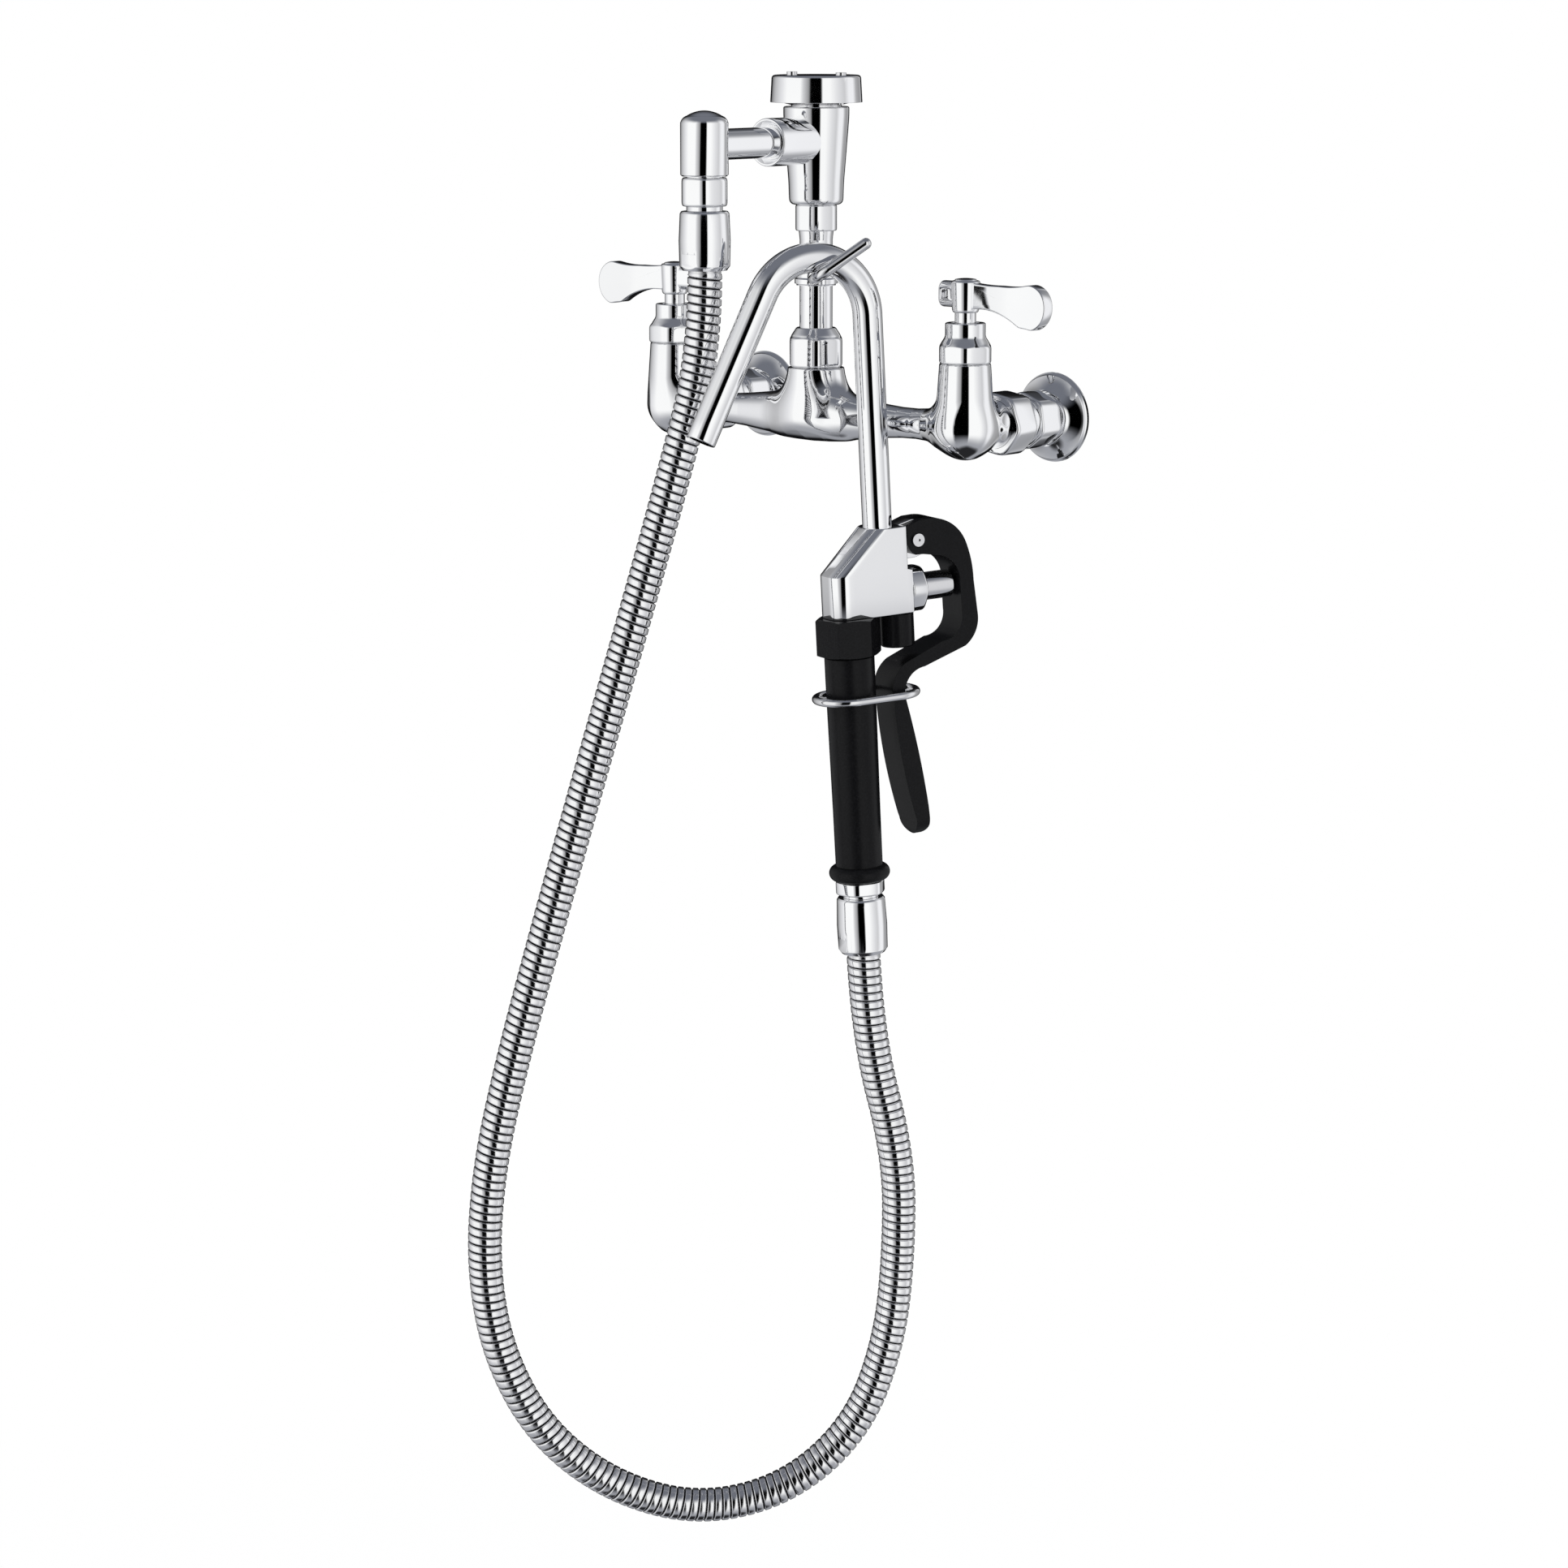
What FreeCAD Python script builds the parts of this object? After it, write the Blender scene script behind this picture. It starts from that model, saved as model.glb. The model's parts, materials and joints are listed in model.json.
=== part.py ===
import FreeCAD, Part
import Sketcher
import math
import os

# Wall-mounted faucet with two lever valves, a vacuum breaker on a riser, and a ribbed steel
# hose that carries a hooked filling nozzle with a squeeze valve. Millimetres.
# The origin is on the wall, midway between the two supplies and level with them.
# +X is to the right, +Y goes into the wall, +Z is up.

SIZES = {
    # where the main axes stand
    "reach": 75.0,                  # wall to the axis of the riser and the valves
    "valve_spacing": 203.2,         # between the two valve axes, eight inches
    # the cast body
    "bar_radius": 8.0,
    "bar_swell_radius": 10.6,
    "bar_centre_radius": 13.2,
    "bar_root_radius": 11.0,
    "neck_radius": 15.0,
    "neck_top": 25.7,
    "neck_bulge_radius": 19.0,
    "tower_top": 33.4,
    "tower_top_radius": 13.4,
    "tower_belly_radius": 15.4,
    "tower_bore_radius": 9.0,
    "tower_bore_depth": 34.0,
    "branch_radius": 12.8,
    "branch_length": 25.0,
    "branch_bore_radius": 8.6,
    # the valves
    "bonnet_flats": 27.0,
    "bonnet_top": 43.3,
    "collar_radius": 10.5,
    "collar_top": 54.4,
    "stem_radius": 5.5,
    "stem_bore_radius": 5.8,
    "stem_tip_radius": 4.0,
    "cartridge_bottom": 1.0,
    "cartridge_top": 20.0,
    # the levers
    "hub_radius": 7.4,
    "hub_low": 59.6,
    "hub_top": 76.0,
    "blade_length": 54.0,
    "blade_thickness": 7.4,
    "blade_tip_low": 52.4,
    "blade_neck_low": 61.8,
    "blade_neck_half": 2.0,         # half the thickness beside the hub
    "tail_length": 15.0,
    "tail_radius": 4.4,
    "tail_low": 62.0,
    # the supplies
    "coupling_flats": 31.5,
    "coupling_near": 27.0,
    "coupling_far": 42.0,
    "supply_flats": 28.0,
    "supply_near": 48.0,
    "supply_far": 64.0,
    "tail_tube_radius": 8.0,
    "supply_bore_radius": 9.3,
    "supply_bore_depth": 14.0,
    "flange_radius": 23.8,
    "flange_depth": 8.6,
    "flange_sheet": 1.4,
    # the riser
    "riser_radius": 8.75,
    "riser_bore_radius": 7.0,
    "riser_bottom": 8.0,
    "riser_top": 99.0,
    "riser_nut_flats": 28.0,
    "riser_nut_low": 25.7,
    "riser_nut_high": 41.6,
    "riser_nut_dome": 46.8,
    # the hook on the riser
    "hook_ring_radius": 11.4,
    "hook_ring_low": 69.0,
    "hook_ring_high": 88.5,
    "hook_rod_radius": 2.9,
    "hook_bend_radius": 9.0,
    # the vacuum breaker
    "breaker_nut_flats": 22.0,
    "breaker_nut_low": 97.8,
    "breaker_low": 111.4,
    "breaker_high": 162.8,
    "breaker_low_radius": 14.3,
    "breaker_high_radius": 17.4,
    "breaker_wall": 3.0,
    "cap_radius": 24.3,
    "cap_top_radius": 23.6,
    "cap_low": 164.9,
    "cap_high": 179.1,
    "cap_sheet": 1.5,
    "cap_screw_offset": 17.0,
    "float_radius": 8.5,
    "float_travel": 3.0,
    # the side outlet
    "outlet_level": 145.0,
    "outlet_boss_radius": 12.5,
    "outlet_boss_length": 39.6,
    "nipple_radius": 8.0,
    "nipple_bore_radius": 6.0,
    "elbow_reach": 88.0,            # riser axis to elbow axis
    "elbow_radius": 12.4,
    "elbow_low": 129.2,
    "elbow_high": 162.6,
    "top_nut_flats": 23.7,
    "top_nut_low": 114.0,
    "top_nut_high": 128.6,
    "swivel_radius": 9.4,
    # the hose
    "ferrule_radius": 13.4,
    "ferrule_length": 30.3,
    "ferrule_top": 111.5,
    "hose_radius": 8.9,
    "hose_groove_radius": 8.0,
    "hose_bore_radius": 6.2,
    # the hanging hand valve, in its own frame: origin at the centre of the nozzle's bend
    "hang_offset": 60.0,            # riser axis to the plane that the hand valve hangs in
    "hang_turn": 22.0,              # that plane's turn from square to the wall
    "hang_lean": 3.2,
    "hang_side": -33.0,             # centre of the bend, along the plane
    "hang_height": 55.9,
    "bend_radius": 32.0,
    "nozzle_radius": 7.75,
    "nozzle_bore_radius": 6.4,
    "nozzle_sweep": 151.1,          # turn of the bend, from the riser leg to the outlet leg
    "nozzle_leg_low": -124.0,
    "nozzle_outlet_length": 82.0,
    "block_high": -111.0,
    "block_low": -157.0,
    "block_thickness": 24.0,
    "block_rear": 43.2,
    "foot_rear": 46.0,
    "foot_height": 24.0,
    "block_slant_high": 23.6,
    "block_slant_low": -134.2,
    "block_nose_round": 9.0,
    "grip_axis": 12.0,
    "valve_level": -146.0,
    "valve_bore_radius": 8.5,
    "plunger_hex_flats": 24.0,
    "plunger_hex_length": 8.8,
    "plunger_radius": 7.4,
    "plunger_end": 74.3,
    "pivot_side": 50.0,
    "pivot_level": -119.2,
    "lug_radius": 10.2,
    "lug_thickness": 9.0,
    "lever_width": 21.0,
    "plug_side": 41.0,
    "plug_radius": 9.1,
    "plug_length": 18.7,
    "grip_nut_flats": 30.2,
    "grip_nut_low": -177.0,
    "grip_radius": 13.2,
    "grip_low": -290.0,
    "grip_tube_radius": 7.9,
    "end_ring_radius": 16.2,
    "end_ring_low": -298.2,
    "handle_nut_flats": 25.0,
    "handle_nut_low": -305.4,
    "handle_ferrule_high": -307.4,
    "hold_ring_wire": 2.15,
    "hold_ring_level": -199.7,
    "hold_ring_side": 20.9,
    "hold_ring_length": 60.0,
    "hold_ring_width": 36.0,
}

# Centre line of the hose from the ferrule under the elbow to the ferrule under the grip:
# how far along the hanging plane from the elbow, and how high. The last point is worked out
# from the place of the hand valve.
HOSE_ROUTE = [
    (0.0, 81.2), (0.0, 39.0), (-18.0, -30.0), (-39.0, -104.0), (-62.0, -183.0), (-84.0, -261.0),
    (-104.0, -334.0), (-117.0, -392.0), (-121.0, -446.0), (-113.0, -496.0), (-90.0, -541.0),
    (-52.0, -573.0), (-4.4, -588.5), (44.5, -578.0), (81.7, -544.6), (98.8, -497.6),
    (103.8, -447.7), (103.6, -394.0),
]
HOSE_END_RUN = 46.0
HOSE_RIBS = 96
HOSE_DIAMETER = 2 * SIZES["hose_radius"]


class Measure:
    """A number together with the formula, in the sheet's names, that gives it."""

    def __init__(self, number, formula):
        self.number = float(number)
        self.formula = formula

    def joined(self, other, sign, number):
        return Measure(number, "(" + self.formula + " " + sign + " " + other.formula + ")")

    def __add__(self, other):
        other = as_measure(other)
        return self.joined(other, "+", self.number + other.number)

    def __radd__(self, other):
        return as_measure(other) + self

    def __sub__(self, other):
        other = as_measure(other)
        return self.joined(other, "-", self.number - other.number)

    def __rsub__(self, other):
        return as_measure(other) - self

    def __mul__(self, other):
        other = as_measure(other)
        return self.joined(other, "*", self.number * other.number)

    def __rmul__(self, other):
        return as_measure(other) * self

    def __truediv__(self, other):
        other = as_measure(other)
        return self.joined(other, "/", self.number / other.number)

    def __neg__(self):
        return as_measure(0.0) - self


def as_measure(value):
    """A Measure as it is, or a plain number as a Measure of its own."""
    if isinstance(value, Measure):
        return value
    return Measure(value, "(" + repr(float(value)) + ")")


class SizeTable:
    """The driving sizes, each an attribute that is a Measure."""


def write_sheet(document):
    """Put the driving sizes in a sheet with an alias each."""
    sheet = document.addObject("Spreadsheet::Sheet", "Sizes")
    table = SizeTable()
    for row, (name, number) in enumerate(SIZES.items(), start=1):
        sheet.set("A" + str(row), name)
        sheet.set("B" + str(row), str(number))
        sheet.setAlias("B" + str(row), name)
        setattr(table, name, Measure(number, "Sizes." + name))
    document.recompute()
    return table


doc = FreeCAD.newDocument("wall_faucet")
size = write_sheet(doc)
nodes = []


def bind(item, path, value):
    """Tie a property to the sheet, or set it where it is a plain number."""
    value = as_measure(value)
    item.setExpression(path, value.formula)


def place(item, x=0.0, y=0.0, z=0.0, rotation=None):
    """Set where a piece stands, with its place tied to the sheet."""
    x, y, z = as_measure(x), as_measure(y), as_measure(z)
    turn = rotation if rotation is not None else FreeCAD.Rotation()
    item.Placement = FreeCAD.Placement(FreeCAD.Vector(x.number, y.number, z.number), turn)
    bind(item, "Placement.Base.x", x)
    bind(item, "Placement.Base.y", y)
    bind(item, "Placement.Base.z", z)


def hang_rotation():
    """Turn of the hand valve: it leans in its own plane, and the plane is turned about Z."""
    turn = FreeCAD.Rotation(FreeCAD.Vector(0, 0, 1), -SIZES["hang_turn"])
    lean = FreeCAD.Rotation(FreeCAD.Vector(1, 0, 0), SIZES["hang_lean"])
    return turn.multiply(lean)


def hang_base():
    """Place of the centre of the nozzle's bend, as three Measures."""
    turn = math.radians(SIZES["hang_turn"])
    x = size.hang_offset * math.cos(turn) + size.hang_side * math.sin(turn)
    y = size.hang_side * math.cos(turn) - size.hang_offset * math.sin(turn) - size.reach
    return x, y, size.hang_height


def in_hand(item):
    """Hang a piece that is modelled in the hand valve's own frame."""
    x, y, z = hang_base()
    place(item, x, y, z, hang_rotation())


def new_body(name):
    """A body whose label is the name of its node."""
    body = doc.addObject("PartDesign::Body", name)
    body.Label = name
    nodes.append(body)
    return body


def origin_plane(body, role):
    return [item for item in body.Origin.OriginFeatures if item.Role == role][0]


def new_sketch(body, role, offset=0.0):
    """An empty sketch on one of the body's own origin planes, moved along its normal."""
    sketch = body.newObject("Sketcher::SketchObject", body.Name + "_sketch")
    sketch.AttachmentSupport = [(origin_plane(body, role), "")]
    sketch.MapMode = "FlatFace"
    offset = as_measure(offset)
    sketch.AttachmentOffset = FreeCAD.Placement(
        FreeCAD.Vector(0, 0, offset.number), FreeCAD.Rotation())
    bind(sketch, "AttachmentOffset.Base.z", offset)
    return sketch


def vector(x, y):
    return FreeCAD.Vector(x, y, 0)


def dome_radius(half_width, rise):
    """Radius of a dome whose centre lies on the axis."""
    half_width, rise = as_measure(half_width), as_measure(rise)
    return (half_width * half_width + rise * rise) / (rise * 2)


def pin(sketch, kind, geometry, point, value):
    """Hold one point of a sketch at a distance from the sketch's origin."""
    value = as_measure(value)
    number = sketch.addConstraint(
        Sketcher.Constraint(kind, -1, 1, geometry, point, value.number))
    bind(sketch, "Constraints[" + str(number) + "]", value)


def arc_between(start, end, radius, side):
    """The minor arc from start to end that bulges to the left (side 1) or right (side -1)."""
    chord = end - start
    half = chord.Length / 2
    rise = math.sqrt(max(radius * radius - half * half, 0.0))
    left = FreeCAD.Vector(-chord.y, chord.x, 0).normalize()
    centre = (start + end) * 0.5 - left * (rise * side)
    first, last = (start, end) if side < 0 else (end, start)
    angle_first = math.atan2(first.y - centre.y, first.x - centre.x)
    angle_last = math.atan2(last.y - centre.y, last.x - centre.x)
    circle = Part.Circle(centre, FreeCAD.Vector(0, 0, 1), radius)
    return Part.ArcOfCircle(circle, angle_first, angle_last)


def draw(sketch, corners):
    """Draw a closed outline, its corners and arc radii tied to the sheet.

    A corner is (x, y), or (x, y, radius) where an arc leaves it for the next corner: a
    positive radius bulges to the left of the way round, a negative one to the right.
    """
    first = sketch.GeometryCount
    count = len(corners)
    ends = []
    for index, corner in enumerate(corners):
        following = corners[(index + 1) % count]
        start = vector(as_measure(corner[0]).number, as_measure(corner[1]).number)
        end = vector(as_measure(following[0]).number, as_measure(following[1]).number)
        if len(corner) == 2:
            sketch.addGeometry(Part.LineSegment(start, end), False)
            ends.append((1, 2))
            continue
        radius = as_measure(corner[2])
        side = 1 if radius.number > 0 else -1
        sketch.addGeometry(arc_between(start, end, abs(radius.number), side), False)
        ends.append((1, 2) if side < 0 else (2, 1))
    for index in range(count):
        following = (index + 1) % count
        sketch.addConstraint(Sketcher.Constraint(
            "Coincident", first + index, ends[index][1], first + following, ends[following][0]))
    for index, corner in enumerate(corners):
        pin(sketch, "DistanceX", first + index, ends[index][0], corner[0])
        pin(sketch, "DistanceY", first + index, ends[index][0], corner[1])
        if len(corner) == 3:
            radius = as_measure(corner[2])
            value = radius if radius.number > 0 else -radius
            number = sketch.addConstraint(
                Sketcher.Constraint("Radius", first + index, value.number))
            bind(sketch, "Constraints[" + str(number) + "]", value)


def draw_circle(sketch, x, y, radius):
    """A circle with its centre and radius tied to the sheet."""
    x, y, radius = as_measure(x), as_measure(y), as_measure(radius)
    circle = Part.Circle(vector(x.number, y.number), FreeCAD.Vector(0, 0, 1), radius.number)
    geometry = sketch.addGeometry(circle, False)
    pin(sketch, "DistanceX", geometry, 3, x)
    pin(sketch, "DistanceY", geometry, 3, y)
    number = sketch.addConstraint(Sketcher.Constraint("Radius", geometry, radius.number))
    bind(sketch, "Constraints[" + str(number) + "]", radius)


def draw_oval(sketch, low, high, radius):
    """An upright oval on the sketch's vertical axis: straight sides and half-round ends."""
    draw(sketch, [
        (-radius, high - radius), (-radius, low + radius, -radius), (0, low, -radius),
        (radius, low + radius), (radius, high - radius, -radius), (0, high, -radius)])


def draw_hexagon(sketch, flats, turn=0.0, x=0.0, y=0.0):
    """A hexagon given across its flats, turned by an angle in degrees."""
    corner_radius = as_measure(flats) / math.sqrt(3)
    corners = []
    for step in range(6):
        angle = math.radians(turn + 60 * step)
        corners.append((as_measure(x) + corner_radius * math.cos(angle),
                        as_measure(y) + corner_radius * math.sin(angle)))
    draw(sketch, corners)


def pad(body, sketch, length, backwards=False, both_ways=False):
    feature = body.newObject("PartDesign::Pad", body.Name + "_pad")
    feature.Profile = sketch
    bind(feature, "Length", length)
    feature.Reversed = backwards
    feature.Midplane = both_ways
    return feature


def pocket(body, sketch, length, backwards=False, both_ways=False):
    """Cut a sketch away, and check that something was cut."""
    doc.recompute()
    before = body.Shape.Volume
    feature = body.newObject("PartDesign::Pocket", body.Name + "_pocket")
    feature.Profile = sketch
    bind(feature, "Length", length)
    feature.Reversed = backwards
    feature.Midplane = both_ways
    doc.recompute()
    if body.Shape.Volume > before - 0.01:
        raise RuntimeError("a pocket of " + body.Label + " cuts nothing")
    return feature


def revolve(body, sketch, axis="V_Axis"):
    feature = body.newObject("PartDesign::Revolution", body.Name + "_turned")
    feature.Profile = sketch
    feature.ReferenceAxis = (sketch, [axis])
    feature.Angle = 360
    return feature


def groove(body, sketch, axis="V_Axis"):
    """Turn a sketch away, and check that something was cut."""
    doc.recompute()
    before = body.Shape.Volume
    feature = body.newObject("PartDesign::Groove", body.Name + "_groove")
    feature.Profile = sketch
    feature.ReferenceAxis = (sketch, [axis])
    feature.Angle = 360
    doc.recompute()
    if body.Shape.Volume > before - 0.01:
        raise RuntimeError("a groove of " + body.Label + " cuts nothing")
    return feature


def turned(name, corners, role="XZ_Plane", axis="V_Axis"):
    """A body turned from half its section."""
    body = new_body(name)
    sketch = new_sketch(body, role)
    draw(sketch, corners)
    revolve(body, sketch, axis)
    return body


def ring_section(inner, outer, low, high):
    """Half section of a plain ring."""
    return [(inner, low), (outer, low), (outer, high), (inner, high)]


def soften_hexagon(body, flats, low, high, amount, role="XZ_Plane", both=True):
    """Turn the corners of a hexagon off at its ends, as on every turned nut."""
    corner = as_measure(flats) / math.sqrt(3)
    wide = corner + 2.0
    start = as_measure(flats) / 2 - 0.3
    ends = [(high, -1)] + ([(low, 1)] if both else [])
    for level, way in ends:
        sketch = new_sketch(body, role)
        level = as_measure(level)
        outline = [(start, level + 0.5 * -way), (wide, level + 0.5 * -way),
                   (wide, level + amount * way * 1.4), (start, level)]
        draw(sketch, outline if way < 0 else outline[::-1])
        groove(body, sketch)


def sample_edge(edge):
    """Three points of an edge: its ends and its middle."""
    first, last = edge.ParameterRange
    return [edge.valueAt(first), edge.valueAt((first + last) / 2), edge.valueAt(last)]


def soften(body, radius, wanted):
    """Round the edges of a body that a test picks out."""
    doc.recompute()
    base = body.Tip
    names = ["Edge" + str(number) for number, edge in enumerate(base.Shape.Edges, start=1)
             if wanted(edge)]
    if not names:
        raise RuntimeError("no edge to round on " + body.Label)
    feature = body.newObject("PartDesign::Fillet", body.Name + "_round")
    feature.Base = (base, names)
    bind(feature, "Radius", radius)
    doc.recompute()
    return feature


def hex_piece(name, flats, low, high, bore, turn=0.0, amount=2.0, both=True):
    """A hexagon along Z with softened ends and a bore."""
    body = new_body(name)
    sketch = new_sketch(body, "XY_Plane", low)
    draw_hexagon(sketch, flats, turn)
    pad(body, sketch, as_measure(high) - low)
    soften_hexagon(body, flats, low, high, amount, both=both)
    if bore is not None:
        hole = new_sketch(body, "XY_Plane", low)
        draw_circle(hole, 0, 0, bore)
        pocket(body, hole, as_measure(high) - low, backwards=True)
    return body


def lying_along_wall_axis():
    """Rotation that lays a piece made along +Z so that it points into the wall, along +Y."""
    return FreeCAD.Rotation(FreeCAD.Vector(1, 0, 0), -90)


def make_faucet_body():
    """The cast body: a bar, two valve towers, a neck for the riser and two rear branches."""
    body = new_body("faucet_body")
    half = size.valve_spacing / 2
    bar = new_sketch(body, "XZ_Plane")
    root = size.bar_root_radius
    draw(bar, [
        (-half, 0), (-half, root), (-(half - 15), root, -20), (-(half - 32), size.bar_radius),
        (-60, size.bar_radius, -75), (-34, size.bar_swell_radius, 223),
        (34, size.bar_swell_radius, -75), (60, size.bar_radius),
        (half - 32, size.bar_radius, -20), (half - 15, root), (half, root), (half, 0)])
    revolve(body, bar, "H_Axis")
    neck = new_sketch(body, "XZ_Plane")
    bulge = size.neck_bulge_radius
    draw(neck, [
        (0, -size.bar_centre_radius), (7, -size.bar_centre_radius + 0.6, -20), (bulge, 0.5, -22),
        (size.neck_radius, 15), (size.neck_radius, size.neck_top), (0, size.neck_top)])
    revolve(body, neck)
    for side in (-1, 1):
        tower = new_sketch(body, "XZ_Plane")
        axis_x = half * side
        belly = size.tower_belly_radius
        draw(tower, [
            (axis_x, -belly, -belly), (axis_x + belly, 0), (axis_x + belly - 0.7, 12),
            (axis_x + size.tower_top_radius, size.tower_top), (axis_x, size.tower_top)])
        line = tower.addGeometry(Part.LineSegment(
            vector(axis_x.number, -40), vector(axis_x.number, 60)), True)
        pin(tower, "DistanceX", line, 1, axis_x)
        pin(tower, "DistanceX", line, 2, axis_x)
        pin(tower, "DistanceY", line, 1, -40)
        pin(tower, "DistanceY", line, 2, 60)
        revolve(body, tower, "Axis0")
        branch = new_sketch(body, "XZ_Plane")
        draw_circle(branch, axis_x, 0, size.branch_radius)
        pad(body, branch, size.branch_length, backwards=True)
    for side in (-1, 1):
        bore = new_sketch(body, "XY_Plane", size.tower_top)
        draw_circle(bore, half * side, 0, size.tower_bore_radius)
        pocket(body, bore, size.tower_bore_depth)
        port = new_sketch(body, "XZ_Plane", -size.branch_length)
        draw_circle(port, half * side, 0, size.branch_bore_radius)
        pocket(body, port, size.branch_length - 8, backwards=True)
    riser_bore = new_sketch(body, "XY_Plane", size.neck_top)
    draw_circle(riser_bore, 0, 0, size.riser_radius + 0.1)
    pocket(body, riser_bore, size.neck_top - size.riser_bottom)
    place(body, 0, -size.reach, 0)


def make_valve(side, label):
    """Everything that one valve holds, from the cartridge up to the lever's cap."""
    axis_x = size.valve_spacing / 2 * side

    cartridge = turned(label + "_cartridge", [
        (3.5, size.cartridge_bottom), (size.tower_bore_radius - 0.2, size.cartridge_bottom),
        (size.tower_bore_radius - 0.2, size.cartridge_top),
        (size.stem_bore_radius, size.cartridge_top), (size.stem_bore_radius, 6), (3.5, 4)])
    place(cartridge, axis_x, -size.reach, 0)

    bonnet = new_body(label + "_bonnet")
    hexagon = new_sketch(bonnet, "XY_Plane", size.tower_top)
    draw_hexagon(hexagon, size.bonnet_flats, 9 if side > 0 else -4)
    pad(bonnet, hexagon, size.bonnet_top - size.tower_top)
    soften_hexagon(bonnet, size.bonnet_flats, size.tower_top, size.bonnet_top, 1.6)
    collar = new_sketch(bonnet, "XZ_Plane")
    draw(collar, [
        (0, size.bonnet_top - 1), (13, size.bonnet_top - 1), (12.4, size.bonnet_top + 0.6, -5),
        (size.collar_radius, size.bonnet_top + 4), (size.collar_radius, size.collar_top - 0.8),
        (size.collar_radius - 0.8, size.collar_top), (0, size.collar_top)])
    revolve(bonnet, collar)
    shank = new_sketch(bonnet, "XY_Plane", size.cartridge_top)
    draw_circle(shank, 0, 0, size.tower_bore_radius - 0.1)
    pad(bonnet, shank, size.tower_top - size.cartridge_top + 1)
    stem_bore = new_sketch(bonnet, "XZ_Plane")
    draw(stem_bore, [
        (0, size.cartridge_top - 1), (size.stem_bore_radius, size.cartridge_top - 1),
        (size.stem_bore_radius, size.collar_top - 3), (7.4, size.collar_top - 1.2),
        (7.4, size.collar_top + 1), (0, size.collar_top + 1)])
    groove(bonnet, stem_bore)
    place(bonnet, axis_x, -size.reach, 0)

    stem = turned(label + "_stem", [
        (0, 6.6), (size.stem_radius - 1.5, 6.6), (size.stem_radius, 8), (size.stem_radius, 22),
        (size.stem_radius - 0.9, 22.5), (size.stem_radius - 0.9, 25.5), (size.stem_radius, 26),
        (size.stem_radius, size.hub_low), (size.stem_tip_radius, size.hub_low),
        (size.stem_tip_radius, size.hub_top - 5.4), (0, size.hub_top - 5.4)])
    place(stem, axis_x, -size.reach, 0)

    make_lever(side, label, axis_x)

    cap = turned(label + "_lever_cap", [
        (0, size.hub_top - 3), (3.6, size.hub_top - 3), (3.6, size.hub_top),
        (5.9, size.hub_top), (5.5, size.hub_top + 0.7, -dome_radius(5.5, 0.6)),
        (0, size.hub_top + 1.3)])
    place(cap, axis_x, -size.reach, 0)


def make_lever(side, label, axis_x):
    """The cast lever: a hub, a flared blade that points outwards, and a short tail."""
    lever = new_body(label + "_lever")
    hub = new_sketch(lever, "XZ_Plane")
    radius = size.hub_radius
    draw(hub, [
        (0, size.hub_low), (radius - 1.2, size.hub_low), (radius - 0.4, size.hub_low + 1.2),
        (radius, size.hub_top - 6), (radius + 0.2, size.hub_top - 0.8),
        (radius - 0.5, size.hub_top), (0, size.hub_top)])
    revolve(lever, hub)
    blade = new_sketch(lever, "XZ_Plane")
    tip = size.blade_length
    low, high = size.blade_tip_low, size.hub_top - 0.3
    outline = [
        (2, size.blade_neck_low), (14, size.blade_neck_low, 44), (tip - 17, low + 1.1, 26),
        (tip - 9, low, -12), (tip, low + 12.5, -11), (tip - 10.5, high, 70),
        (tip - 30, high - 1.4, 120), (2, high)]
    if side < 0:
        outline = [(-corner[0], corner[1]) + tuple(-arc for arc in corner[2:])
                   for corner in outline]
    draw(blade, outline)
    pad(lever, blade, size.blade_thickness, both_ways=True)
    soften(lever, 2.0, lambda edge: all(
        abs(abs(point.y) - SIZES["blade_thickness"] / 2) < 0.01 and abs(point.x) > 7.5
        for point in sample_edge(edge)))
    neck = new_sketch(lever, "XY_Plane", size.hub_top + 1)
    thin, thick = size.blade_neck_half, size.blade_thickness / 2 + 0.05
    for way in (-1, 1):
        wedge = [(7.3 * side, thin * way), (10.5 * side, (thin + 0.1) * way),
                 (20 * side, thick * way), (20 * side, 6 * way), (7.3 * side, 6 * way)]
        draw(neck, wedge if way * side > 0 else wedge[::-1])
    pocket(lever, neck, 30)
    tail = new_sketch(lever, "YZ_Plane")
    draw_oval(tail, size.tail_low, size.hub_top - 0.4, size.tail_radius)
    pad(lever, tail, size.tail_length, backwards=side > 0)
    soften(lever, 1.0, lambda edge: all(
        abs(abs(point.x) - SIZES["tail_length"]) < 0.01 and point.x * side < 0
        for point in sample_edge(edge)))
    recess = new_sketch(lever, "YZ_Plane", size.tail_length * -side)
    draw_oval(recess, size.tail_low + 2, size.hub_top - 2.4, size.tail_radius - 2)
    pocket(lever, recess, 1.6, backwards=side > 0)
    tip_bore = new_sketch(lever, "XZ_Plane")
    draw(tip_bore, [
        (0, size.hub_low - 1), (size.stem_tip_radius + 0.02, size.hub_low - 1),
        (size.stem_tip_radius + 0.02, size.hub_top - 5), (3.7, size.hub_top - 5),
        (3.7, size.hub_top + 1), (0, size.hub_top + 1)])
    groove(lever, tip_bore)
    place(lever, axis_x, -size.reach, 0)


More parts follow.
